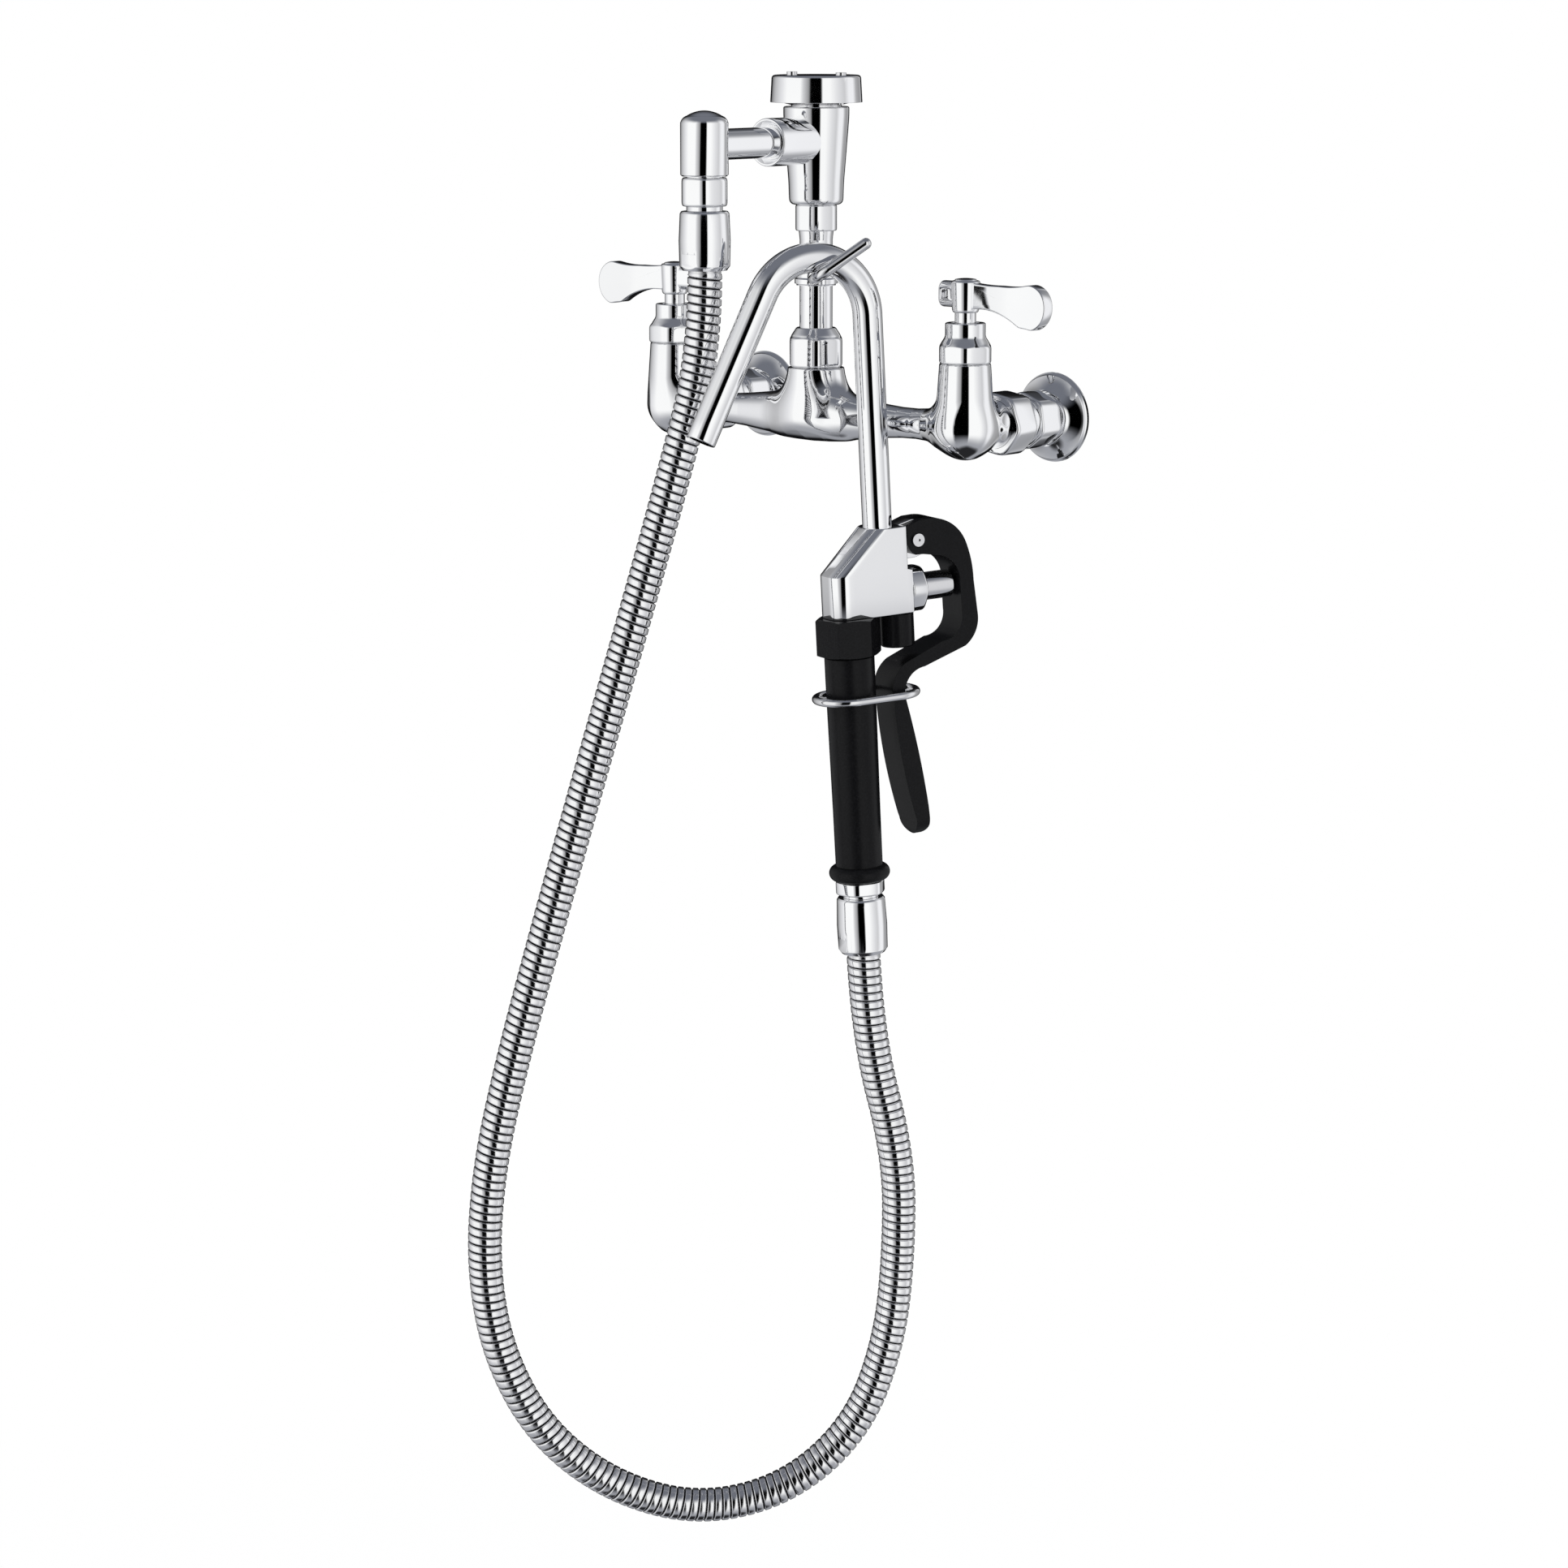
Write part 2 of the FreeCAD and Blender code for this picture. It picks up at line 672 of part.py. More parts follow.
def make_supply(side, label):
    """The union, the inlet piece with its pipe thread, and the wall flange of one supply."""
    axis_x = size.valve_spacing / 2 * side
    near, far = size.coupling_near, size.coupling_far

    washer = turned(label + "_supply_washer", ring_section(
        size.tail_tube_radius + 0.1, size.branch_radius - 0.6, size.branch_length + 0.1, near + 0.4))
    place(washer, axis_x, -size.reach, 0, lying_along_wall_axis())

    nut = new_body(label + "_coupling_nut")
    hexagon = new_sketch(nut, "XY_Plane", near - 3)
    draw_hexagon(hexagon, size.coupling_flats, 10)
    pad(nut, hexagon, far - near + 3)
    soften_hexagon(nut, size.coupling_flats, near - 3, far, 3.0)
    inside = new_sketch(nut, "XZ_Plane")
    draw(inside, [
        (0, near - 4), (size.branch_radius + 0.1, near - 4), (size.branch_radius + 0.1, far - 9),
        (size.tail_tube_radius + 1.1, far - 9), (size.tail_tube_radius + 1.1, far + 1),
        (0, far + 1)])
    groove(nut, inside)
    place(nut, axis_x, -size.reach, 0, lying_along_wall_axis())

    inlet = new_body(label + "_inlet")
    hexagon = new_sketch(inlet, "XY_Plane", size.supply_near)
    draw_hexagon(hexagon, size.supply_flats, 22)
    pad(inlet, hexagon, size.supply_far - size.supply_near)
    soften_hexagon(inlet, size.supply_flats, size.supply_near, size.supply_far, 2.0)
    tail = new_sketch(inlet, "XZ_Plane")
    draw(tail, [
        (0, near + 0.6), (size.branch_radius - 0.8, near + 0.6),
        (size.branch_radius - 0.8, far - 9.2), (size.tail_tube_radius + 1, far - 9.2),
        (size.tail_tube_radius + 1, far + 0.5), (12.6, far + 0.5), (12.6, size.supply_near + 1),
        (0, size.supply_near + 1)])
    revolve(inlet, tail)
    socket = new_sketch(inlet, "XY_Plane", size.supply_far - 1)
    draw_circle(socket, 0, 0, 12.4)
    pad(inlet, socket, size.reach - size.supply_far + 1)
    waterway = new_sketch(inlet, "XZ_Plane")
    draw(waterway, [
        (0, near - 1), (5.6, near - 1), (5.6, size.reach - size.supply_bore_depth),
        (size.supply_bore_radius, size.reach - size.supply_bore_depth),
        (size.supply_bore_radius, size.reach + 1), (0, size.reach + 1)])
    groove(inlet, waterway)
    place(inlet, axis_x, -size.reach, 0, lying_along_wall_axis())

    rim = size.flange_radius
    sheet = size.flange_sheet
    flange = turned(label + "_wall_flange", [
        (12.6, size.reach - size.flange_depth), (15, size.reach - size.flange_depth, 26),
        (rim - 1.6, size.reach - 2.6, 3), (rim, size.reach), (rim - sheet, size.reach),
        (rim - 2.6, size.reach - 1.4, -26), (15, size.reach - size.flange_depth + sheet),
        (12.6, size.reach - size.flange_depth + sheet)])
    place(flange, axis_x, -size.reach, 0, lying_along_wall_axis())


def make_riser():
    """The riser pipe with the nut and the seal that hold it in the neck."""
    pipe = turned("riser_pipe", [
        (size.riser_bore_radius, size.riser_bottom), (size.riser_radius, size.riser_bottom),
        (size.riser_radius, size.riser_top - 6), (size.riser_radius + 0.5, size.riser_top - 1.4),
        (size.riser_radius + 0.5, size.riser_top), (size.riser_bore_radius, size.riser_top)])
    place(pipe, 0, -size.reach, 0)

    nut = new_body("riser_nut")
    low, high = size.riser_nut_low, size.riser_nut_high
    hexagon = new_sketch(nut, "XY_Plane", low)
    draw_hexagon(hexagon, size.riser_nut_flats, 12)
    pad(nut, hexagon, high - low)
    soften_hexagon(nut, size.riser_nut_flats, low, high, 2.6)
    dome = new_sketch(nut, "XZ_Plane")
    draw(dome, [
        (0, high - 1), (13.4, high - 1), (13.0, high + 1, -7), (10.2, size.riser_nut_dome),
        (0, size.riser_nut_dome)])
    revolve(nut, dome)
    bore = new_sketch(nut, "XZ_Plane")
    draw(bore, [
        (0, low - 1), (10.6, low - 1), (10.6, low + 5), (size.riser_radius + 0.1, low + 7),
        (size.riser_radius + 0.1, size.riser_nut_dome + 1), (0, size.riser_nut_dome + 1)])
    groove(nut, bore)
    place(nut, 0, -size.reach, 0)

    seal = turned("riser_seal", ring_section(
        size.riser_radius + 0.05, 10.5, low + 0.1, low + 4.9))
    place(seal, 0, -size.reach, 0)


def hook_path():
    """Centre line of the hook's rod: out of the ring, round one bend, and up to its tip."""
    root = FreeCAD.Vector(6.3, -7.6, 76.4)
    corner = FreeCAD.Vector(49.0, -59.2, 76.8)
    tip = FreeCAD.Vector(69.3, -41.7, 95.5)
    radius = SIZES["hook_bend_radius"]
    first = (root - corner).normalize()
    second = (tip - corner).normalize()
    half_angle = first.getAngle(second) / 2
    reach_back = radius / math.tan(half_angle)
    start = corner + first * reach_back
    end = corner + second * reach_back
    bisector = (first + second).normalize()
    centre = corner + bisector * (radius / math.sin(half_angle))
    middle = centre - bisector * radius
    edges = [Part.LineSegment(root, start).toShape(), Part.Arc(start, middle, end).toShape(),
             Part.LineSegment(end, tip).toShape()]
    return Part.Wire(edges), root, tip


def make_hook():
    """The ring clamped round the riser and the rod that the nozzle hangs on."""
    ring = new_body("hook_ring")
    section = new_sketch(ring, "XZ_Plane")
    low, high = size.hook_ring_low, size.hook_ring_high
    outer = size.hook_ring_radius
    draw(section, [
        (size.riser_radius + 0.1, low), (outer - 1, low, 1.0), (outer, low + 1),
        (outer, low + 3.4), (outer - 0.9, low + 4.2), (outer - 0.9, high - 1.2),
        (outer - 2.0, high), (size.riser_radius + 0.1, high)])
    revolve(ring, section)
    doc.recompute()
    wire, root, tip = hook_path()
    place(ring, 0, -size.reach, 0)

    tangent = (wire.Edges[0].Vertexes[-1].Point - wire.Edges[0].Vertexes[0].Point).normalize()
    circle = Part.Wire(Part.makeCircle(SIZES["hook_rod_radius"], root, tangent))
    rod = wire.makePipeShell([circle], True, False)
    rounded = Part.makeSphere(SIZES["hook_rod_radius"], tip)
    inner = Part.makeCylinder(
        SIZES["hook_ring_radius"] + 0.02, 60, FreeCAD.Vector(0, 0, 40))
    shape = rod.fuse(rounded).cut(inner).removeSplitter()
    hook = doc.addObject("Part::Feature", "hook_rod")
    hook.Label = "hook_rod"
    hook.Shape = shape
    place(hook, 0, -size.reach, 0)
    nodes.append(hook)

    screw = turned("hook_screw", [
        (0, 0), (2, 0), (2, outer - size.riser_radius), (3.4, outer - size.riser_radius),
        (3.4, outer - size.riser_radius + 1.6), (2.8, outer - size.riser_radius + 2.2),
        (1.2, outer - size.riser_radius + 2.2), (1.2, outer - size.riser_radius + 1.2),
        (0, outer - size.riser_radius + 1.2)])
    place(screw, 0, size.riser_radius + 0.15 - size.reach, low + 13, lying_along_wall_axis())
    hole = new_sketch(ring, "XZ_Plane")
    draw_circle(hole, 0, low + 13, 2.02)
    pocket(ring, hole, 20)


def make_breaker():
    """The vacuum breaker: nut, body with its side outlet, seat, float, top and cap."""
    low, high = size.breaker_low, size.breaker_high
    low_radius, high_radius = size.breaker_low_radius, size.breaker_high_radius

    nut = hex_piece("breaker_nut", size.breaker_nut_flats, size.breaker_nut_low, low,
                    size.riser_radius + 0.6, 11, 1.0)
    place(nut, 0, -size.reach, 0)

    body = new_body("breaker_body")
    outside = new_sketch(body, "XZ_Plane")
    draw(outside, [
        (0, low), (low_radius - 3, low, -3), (low_radius, low + 3), (low_radius + 0.4, low + 12),
        (high_radius - 0.5, high - 12), (high_radius, high - 5), (high_radius, high - 1.2),
        (high_radius - 1.2, high), (0, high)])
    revolve(body, outside)
    boss = new_sketch(body, "XZ_Plane")
    draw_circle(boss, 0, size.outlet_level, size.outlet_boss_radius)
    pad(body, boss, size.outlet_boss_length)
    doc.recompute()
    inside = new_sketch(body, "XZ_Plane")
    draw(inside, [
        (0, low - 1), (size.riser_bore_radius, low - 1), (size.riser_bore_radius, low + 6),
        (low_radius - 3, low + 6), (high_radius - 4, high - 14), (high_radius - 4, high + 1),
        (0, high + 1)])
    groove(body, inside)
    outlet = new_sketch(body, "XZ_Plane", size.outlet_boss_length)
    draw_circle(outlet, 0, size.outlet_level, size.nipple_radius + 0.05)
    pocket(body, outlet, 16)
    passage = new_sketch(body, "XZ_Plane", size.outlet_boss_length - 14)
    draw_circle(passage, 0, size.outlet_level, size.nipple_bore_radius)
    pocket(body, passage, 20)
    rim = new_sketch(body, "XZ_Plane", size.outlet_boss_length)
    draw_circle(rim, 0, size.outlet_level, size.outlet_boss_radius - 2.2)
    pocket(body, rim, 2.0)
    place(body, 0, -size.reach, 0)

    seat = turned("breaker_seat", [
        (5.5, low + 6.1), (low_radius - 3.2, low + 6.1), (low_radius - 3.2, low + 8.5),
        (6.6, low + 8.5), (6.2, low + 9.6), (5.5, low + 9.6)])
    place(seat, 0, -size.reach, 0)

    rest = low + 9.7
    float_disc = turned("breaker_float", [
        (0, rest), (size.float_radius, rest), (size.float_radius, rest + 2.6), (2.4, rest + 3.4),
        (2.4, rest + 29), (1.6, rest + 30), (0, rest + 30)])
    place(float_disc, 0, -size.reach, 0)

    top = new_body("breaker_top")
    section = new_sketch(top, "XZ_Plane")
    draw(section, [
        (2.7, high - 16), (5.6, high - 16), (5.6, high - 12), (high_radius - 4.1, high - 10),
        (high_radius - 4.1, high + 0.6), (20.6, high + 2.6), (20.6, high + 5.2),
        (6, high + 5.2), (6, high - 6), (2.7, high - 7)])
    revolve(top, section)
    doc.recompute()
    vent = new_sketch(top, "XY_Plane", high + 5.3)
    draw_circle(vent, 0, 10.4, 1.9)
    pocket(top, vent, 20)
    vents = top.newObject("PartDesign::PolarPattern", "breaker_top_vents")
    vents.Originals = [top.Tip]
    vents.Axis = (section, ["V_Axis"])
    vents.Angle = 360
    vents.Occurrences = 6
    top.Tip = vents
    doc.recompute()
    screw_holes = new_sketch(top, "XY_Plane", high + 5.3)
    for side in (-1, 1):
        draw_circle(screw_holes, size.cap_screw_offset * side, 0, 1.52)
    pocket(top, screw_holes, 6)
    place(top, 0, -size.reach, 0)

    cap = new_body("breaker_cap")
    sheet = size.cap_sheet
    section = new_sketch(cap, "XZ_Plane")
    rim, crown = size.cap_radius, size.cap_top_radius
    base, peak = size.cap_low, size.cap_high
    draw(section, [
        (0, peak - sheet), (crown - 2.6, peak - sheet, 2.0), (crown - 1.4, peak - 3.4),
        (rim - sheet, base), (rim, base), (crown, peak - 1.8, -1.8), (crown - 1.8, peak),
        (0, peak)])
    revolve(cap, section)
    doc.recompute()
    posts = new_sketch(cap, "XY_Plane", high + 5.3)
    holes = new_sketch(cap, "XY_Plane", peak + 1)
    for side in (-1, 1):
        draw_circle(posts, size.cap_screw_offset * side, 0, 3.2)
        draw_circle(holes, size.cap_screw_offset * side, 0, 1.55)
    pad(cap, posts, peak - high - 6)
    pocket(cap, holes, 14)
    place(cap, 0, -size.reach, 0)

    screws = new_body("cap_screws")
    shank = new_sketch(screws, "XY_Plane", high + 1.2)
    head = new_sketch(screws, "XY_Plane", peak + 0.02)
    slot = new_sketch(screws, "XY_Plane", peak + 1.5)
    for side in (-1, 1):
        offset = size.cap_screw_offset * side
        draw_circle(shank, offset, 0, 1.5)
        draw_circle(head, offset, 0, 2.8)
        draw(slot, [(offset - 2.2, -0.35), (offset + 2.2, -0.35), (offset + 2.2, 0.35),
                    (offset - 2.2, 0.35)])
    pad(screws, shank, peak - high)
    pad(screws, head, 1.4)
    pocket(screws, slot, 0.9)
    place(screws, 0, -size.reach, 0)


def make_side_arm():
    """The nipple, the elbow that turns down, and the swivel end of the hose."""
    nipple = turned("outlet_nipple", ring_section(
        size.nipple_bore_radius, size.nipple_radius,
        size.outlet_boss_length - 15.5, size.elbow_reach - 5))
    place(nipple, 0, -size.reach, size.outlet_level,
          FreeCAD.Rotation(FreeCAD.Vector(1, 0, 0), 90))

    elbow = new_body("hose_elbow")
    section = new_sketch(elbow, "XZ_Plane")
    radius = size.elbow_radius
    low, high = size.elbow_low, size.elbow_high
    draw(section, [
        (0, low), (radius - 0.8, low), (radius, low + 0.8), (radius, high - 6.4, -5.0),
        (radius - 3.4, high - 2.6, -dome_radius(radius - 3.4, 2.6)), (0, high)])
    revolve(elbow, section)
    doc.recompute()
    side_port = new_sketch(elbow, "XZ_Plane", -20)
    draw_circle(side_port, 0, size.outlet_level, size.nipple_radius + 0.05)
    pocket(elbow, side_port, 15, backwards=True)
    passage = new_sketch(elbow, "XZ_Plane", -6)
    draw_circle(passage, 0, size.outlet_level, size.nipple_bore_radius)
    pocket(elbow, passage, 7, backwards=True)
    down_port = new_sketch(elbow, "XY_Plane", low)
    draw_circle(down_port, 0, 0, size.nipple_bore_radius)
    pocket(elbow, down_port, size.outlet_level - low, backwards=True)
    place(elbow, 0, -size.elbow_reach - size.reach, 0)

    nut = new_body("hose_top_nut")
    hexagon = new_sketch(nut, "XY_Plane", size.top_nut_low)
    draw_hexagon(hexagon, size.top_nut_flats, 12)
    pad(nut, hexagon, size.top_nut_high - size.top_nut_low)
    soften_hexagon(nut, size.top_nut_flats, size.top_nut_low, size.top_nut_high, 2.2)
    necks = new_sketch(nut, "XZ_Plane")
    neck = size.swivel_radius
    draw(necks, [
        (0, size.ferrule_top), (neck, size.ferrule_top), (neck, size.elbow_low - 0.02),
        (0, size.elbow_low - 0.02)])
    revolve(nut, necks)
    inside = new_sketch(nut, "XZ_Plane")
    draw(inside, [
        (0, size.ferrule_top - 1), (5, size.ferrule_top - 1), (5, size.elbow_low - 3),
        (7.6, size.elbow_low - 3), (7.6, size.elbow_low + 1), (0, size.elbow_low + 1)])
    groove(nut, inside)
    place(nut, 0, -size.elbow_reach - size.reach, 0)

    washer = turned("hose_top_washer", ring_section(
        5.2, 7.5, size.elbow_low - 2.9, size.elbow_low - 0.05))
    place(washer, 0, -size.elbow_reach - size.reach, 0)

    ferrule = make_ferrule("hose_top_ferrule")
    place(ferrule, 0, -size.elbow_reach - size.reach, size.ferrule_top)


def make_ferrule(name):
    """A crimped hose end that hangs below its own origin, with two wrench flats near its mouth."""
    radius = size.ferrule_radius
    length = size.ferrule_length
    ferrule = turned(name, [
        (5, -0.02), (radius - 1.4, -0.02), (radius - 0.6, -1.2), (radius, -length / 2),
        (radius - 0.3, -length + 2.2), (radius - 1.9, -length), (5, -length)])
    doc.recompute()
    for way in (-1, 1):
        flat = new_sketch(ferrule, "XY_Plane", -length + 8.6)
        edge = (radius - 1.1) * way
        draw(flat, [(-radius - 1, edge), (radius + 1, edge), (radius + 1, (radius + 2) * way),
                    (-radius - 1, (radius + 2) * way)][::way])
        pocket(ferrule, flat, 10)
    return ferrule


def make_nozzle_tube():
    """The bent outlet tube, with its bore."""
    tube = new_body("nozzle_tube")
    path = new_sketch(tube, "YZ_Plane")
    bend = SIZES["bend_radius"]
    sweep = math.radians(SIZES["nozzle_sweep"])
    low = SIZES["nozzle_leg_low"]
    away = vector(bend * math.cos(sweep), bend * math.sin(sweep))
    along = vector(-math.sin(sweep), math.cos(sweep)) * SIZES["nozzle_outlet_length"]
    arc = Part.ArcOfCircle(Part.Circle(vector(0, 0), FreeCAD.Vector(0, 0, 1), bend), 0, sweep)
    path.addGeometry(Part.LineSegment(vector(bend, low), vector(bend, 0)), False)
    path.addGeometry(arc, False)
    path.addGeometry(Part.LineSegment(away, away + along), False)
    path.addConstraint(Sketcher.Constraint("Coincident", 0, 2, 1, 1))
    path.addConstraint(Sketcher.Constraint("Coincident", 1, 2, 2, 1))
    pin(path, "DistanceX", 0, 1, size.bend_radius)
    pin(path, "DistanceY", 0, 1, size.nozzle_leg_low)
    pin(path, "DistanceX", 0, 2, size.bend_radius)
    pin(path, "DistanceY", 0, 2, 0)
    pin(path, "DistanceX", 1, 3, 0)
    pin(path, "DistanceY", 1, 3, 0)
    pin(path, "DistanceX", 1, 2, size.bend_radius * math.cos(sweep))
    end_x = size.bend_radius * math.cos(sweep) - size.nozzle_outlet_length * math.sin(sweep)
    end_y = size.bend_radius * math.sin(sweep) + size.nozzle_outlet_length * math.cos(sweep)
    pin(path, "DistanceX", 2, 2, end_x)
    pin(path, "DistanceY", 2, 2, end_y)
    section = new_sketch(tube, "XY_Plane", size.nozzle_leg_low)
    draw_circle(section, 0, size.bend_radius, size.nozzle_radius)
    draw_circle(section, 0, size.bend_radius, size.nozzle_bore_radius)
    doc.recompute()
    pipe = tube.newObject("PartDesign::AdditivePipe", "nozzle_tube_pipe")
    pipe.Profile = section
    pipe.Spine = path
    in_hand(tube)


def make_valve_block():
    """The hand valve's block: round nosed over the grip, slanted above, with a lug behind."""
    block = new_body("valve_block")
    side_view = new_sketch(block, "YZ_Plane")
    half = size.block_thickness / 2
    nose = size.grip_axis - half
    foot_top = size.block_low + size.foot_height
    draw(side_view, [
        (nose, size.block_low), (size.foot_rear, size.block_low), (size.foot_rear, foot_top),
        (size.block_rear, foot_top), (size.block_rear, size.block_high),
        (size.block_slant_high, size.block_high), (nose, size.block_slant_low)])
    pad(block, side_view, size.block_thickness, both_ways=True)
    soften(block, size.block_nose_round, lambda edge: all(
        point.y < SIZES["block_slant_high"] + 0.01
        and abs(abs(point.x) - SIZES["block_thickness"] / 2) < 0.01
        for point in sample_edge(edge)))
    soften(block, 1.2, lambda edge: all(
        point.y > SIZES["block_slant_high"] + 9.2
        and abs(abs(point.x) - SIZES["block_thickness"] / 2) < 0.01
        for point in sample_edge(edge)))
    lug = new_sketch(block, "YZ_Plane")
    lug_low = size.pivot_level - size.lug_radius
    lug_high = size.pivot_level + size.lug_radius
    draw(lug, [
        (size.block_rear - 2, lug_low), (size.pivot_side, lug_low, -size.lug_radius),
        (size.pivot_side + size.lug_radius, size.pivot_level, -size.lug_radius),
        (size.pivot_side, lug_high), (size.block_rear - 2, size.block_high - 0.2)])
    pad(block, lug, size.lug_thickness, both_ways=True)
    doc.recompute()
    hole = new_sketch(block, "YZ_Plane")
    draw_circle(hole, size.pivot_side, size.pivot_level, 2.05)
    pocket(block, hole, 40, both_ways=True)
    chamber = new_sketch(block, "XZ_Plane", -size.foot_rear)
    draw_circle(chamber, 0, size.valve_level, size.valve_bore_radius)
    pocket(block, chamber, size.foot_rear - 7, backwards=True)
    riser_socket = new_sketch(block, "XY_Plane", size.block_high)
    draw_circle(riser_socket, 0, size.bend_radius, size.nozzle_radius + 0.05)
    pocket(block, riser_socket, size.block_high - size.nozzle_leg_low)
    grip_socket = new_sketch(block, "XY_Plane", size.block_low)
    draw_circle(grip_socket, 0, size.grip_axis, size.grip_tube_radius + 0.05)
    pocket(block, grip_socket, 4, backwards=True)
    in_hand(block)


def make_valve_inside():
    """The plunger in its bonnet, the poppet that it pushes, and the spring behind the poppet."""
    rear = size.foot_rear
    level = size.valve_level
    lay = hang_rotation().multiply(FreeCAD.Rotation(FreeCAD.Vector(1, 0, 0), -90))

    def lie(item):
        x, y, z = hang_base()
        lean = math.radians(SIZES["hang_lean"])
        turn = math.radians(SIZES["hang_turn"])
        side = level * -math.sin(lean)
        place(item, x + side * math.sin(turn), y + side * math.cos(turn),
              z + level * math.cos(lean), lay)

    bonnet = new_body("plunger_bonnet")
    hexagon = new_sketch(bonnet, "XY_Plane", rear)
    draw_hexagon(hexagon, size.plunger_hex_flats, 0)
    pad(bonnet, hexagon, size.plunger_hex_length)
    soften_hexagon(bonnet, size.plunger_hex_flats, rear, rear + size.plunger_hex_length, 1.6)
    shank = new_sketch(bonnet, "XY_Plane", rear - 8)
    draw_circle(shank, 0, 0, size.valve_bore_radius - 0.05)
    pad(bonnet, shank, 9)
    bore = new_sketch(bonnet, "XY_Plane", rear - 9)
    draw_circle(bore, 0, 0, size.plunger_radius + 0.05)
    pocket(bonnet, bore, 30, backwards=True)
    lie(bonnet)

    end = size.plunger_end
    plunger = turned("plunger", [
        (0, 31), (size.plunger_radius - 1, 31), (size.plunger_radius, 32),
        (size.plunger_radius, end - 2.2, -3),
        (size.plunger_radius - 2.0, end - 0.5, -dome_radius(size.plunger_radius - 2.0, 0.5)),
        (0, end)])
    lie(plunger)

    poppet = turned("valve_poppet", [
        (0, 14), (2.2, 14), (2.2, 24), (7.2, 24), (7.2, 27), (3, 28), (3, 31), (0, 31)])
    lie(poppet)

    spring = turned("valve_spring", ring_section(4.8, 6.0, 7.6, 23.4))
    lie(spring)


def make_trigger():
    """The squeeze lever: a fork on the pivot, a bow round the plunger, and a paddle."""
    trigger = new_body("trigger_lever")
    outline = new_sketch(trigger, "YZ_Plane")
    draw(outline, [
        (44.0, -111.6), (52.0, -108.9), (58, -108.7, 22.5), (78.6, -122.6, 60), (82.6, -144.0),
        (84.3, -162.5, 17), (76.0, -178.8), (51.0, -186.8, -13), (38.9, -202.0, 500),
        (49.8, -262.0), (50.5, -271.6, 6.6), (47.4, -277.7), (44.6, -277.7, 14),
        (42.6, -270.0, 300), (32.0, -203.0, 17), (39.6, -183.6), (62.5, -174.6, -12),
        (74.7, -161.0), (74.5, -143.0, -15), (63.7, -129.0), (53.0, -127.1),
        (48.6, -127.0, 7.6), (44.0, -119.6)])
    pad(trigger, outline, size.lever_width, both_ways=True)
    doc.recompute()
    for side in (-1, 1):
        tongue = new_sketch(trigger, "XZ_Plane")
        draw(tongue, [
            (10.5 * side, -267.2, 10.5 * side), (0, -277.7), (0, -285), (12 * side, -285),
            (12 * side, -267.2)])
        pocket(trigger, tongue, 160, both_ways=True)
    fork = new_sketch(trigger, "YZ_Plane")
    slot_end = size.pivot_side + size.lug_radius + 0.5
    draw(fork, [(40, -130), (slot_end, -130), (slot_end, -104), (40, -104)])
    pocket(trigger, fork, size.lug_thickness + 0.6, both_ways=True)
    hole = new_sketch(trigger, "YZ_Plane")
    draw_circle(hole, size.pivot_side, size.pivot_level, 2.07)
    pocket(trigger, hole, 60, both_ways=True)
    in_hand(trigger)

    screw = new_body("lever_pivot_screw")
    pin_sketch = new_sketch(screw, "YZ_Plane")
    draw_circle(pin_sketch, size.pivot_side, size.pivot_level, 2.0)
    pad(screw, pin_sketch, size.lever_width + 0.6, both_ways=True)
    for way in (-1, 1):
        head = new_sketch(screw, "YZ_Plane", (size.lever_width / 2 + 0.3) * way)
        draw_circle(head, size.pivot_side, size.pivot_level, 3.4)
        pad(screw, head, 1.2, backwards=way < 0)
        doc.recompute()
        recess = new_sketch(screw, "YZ_Plane", (size.lever_width / 2 + 1.5) * way)
        draw_circle(recess, size.pivot_side, size.pivot_level, 1.1)
        pocket(screw, recess, 0.9, backwards=way < 0)
    in_hand(screw)


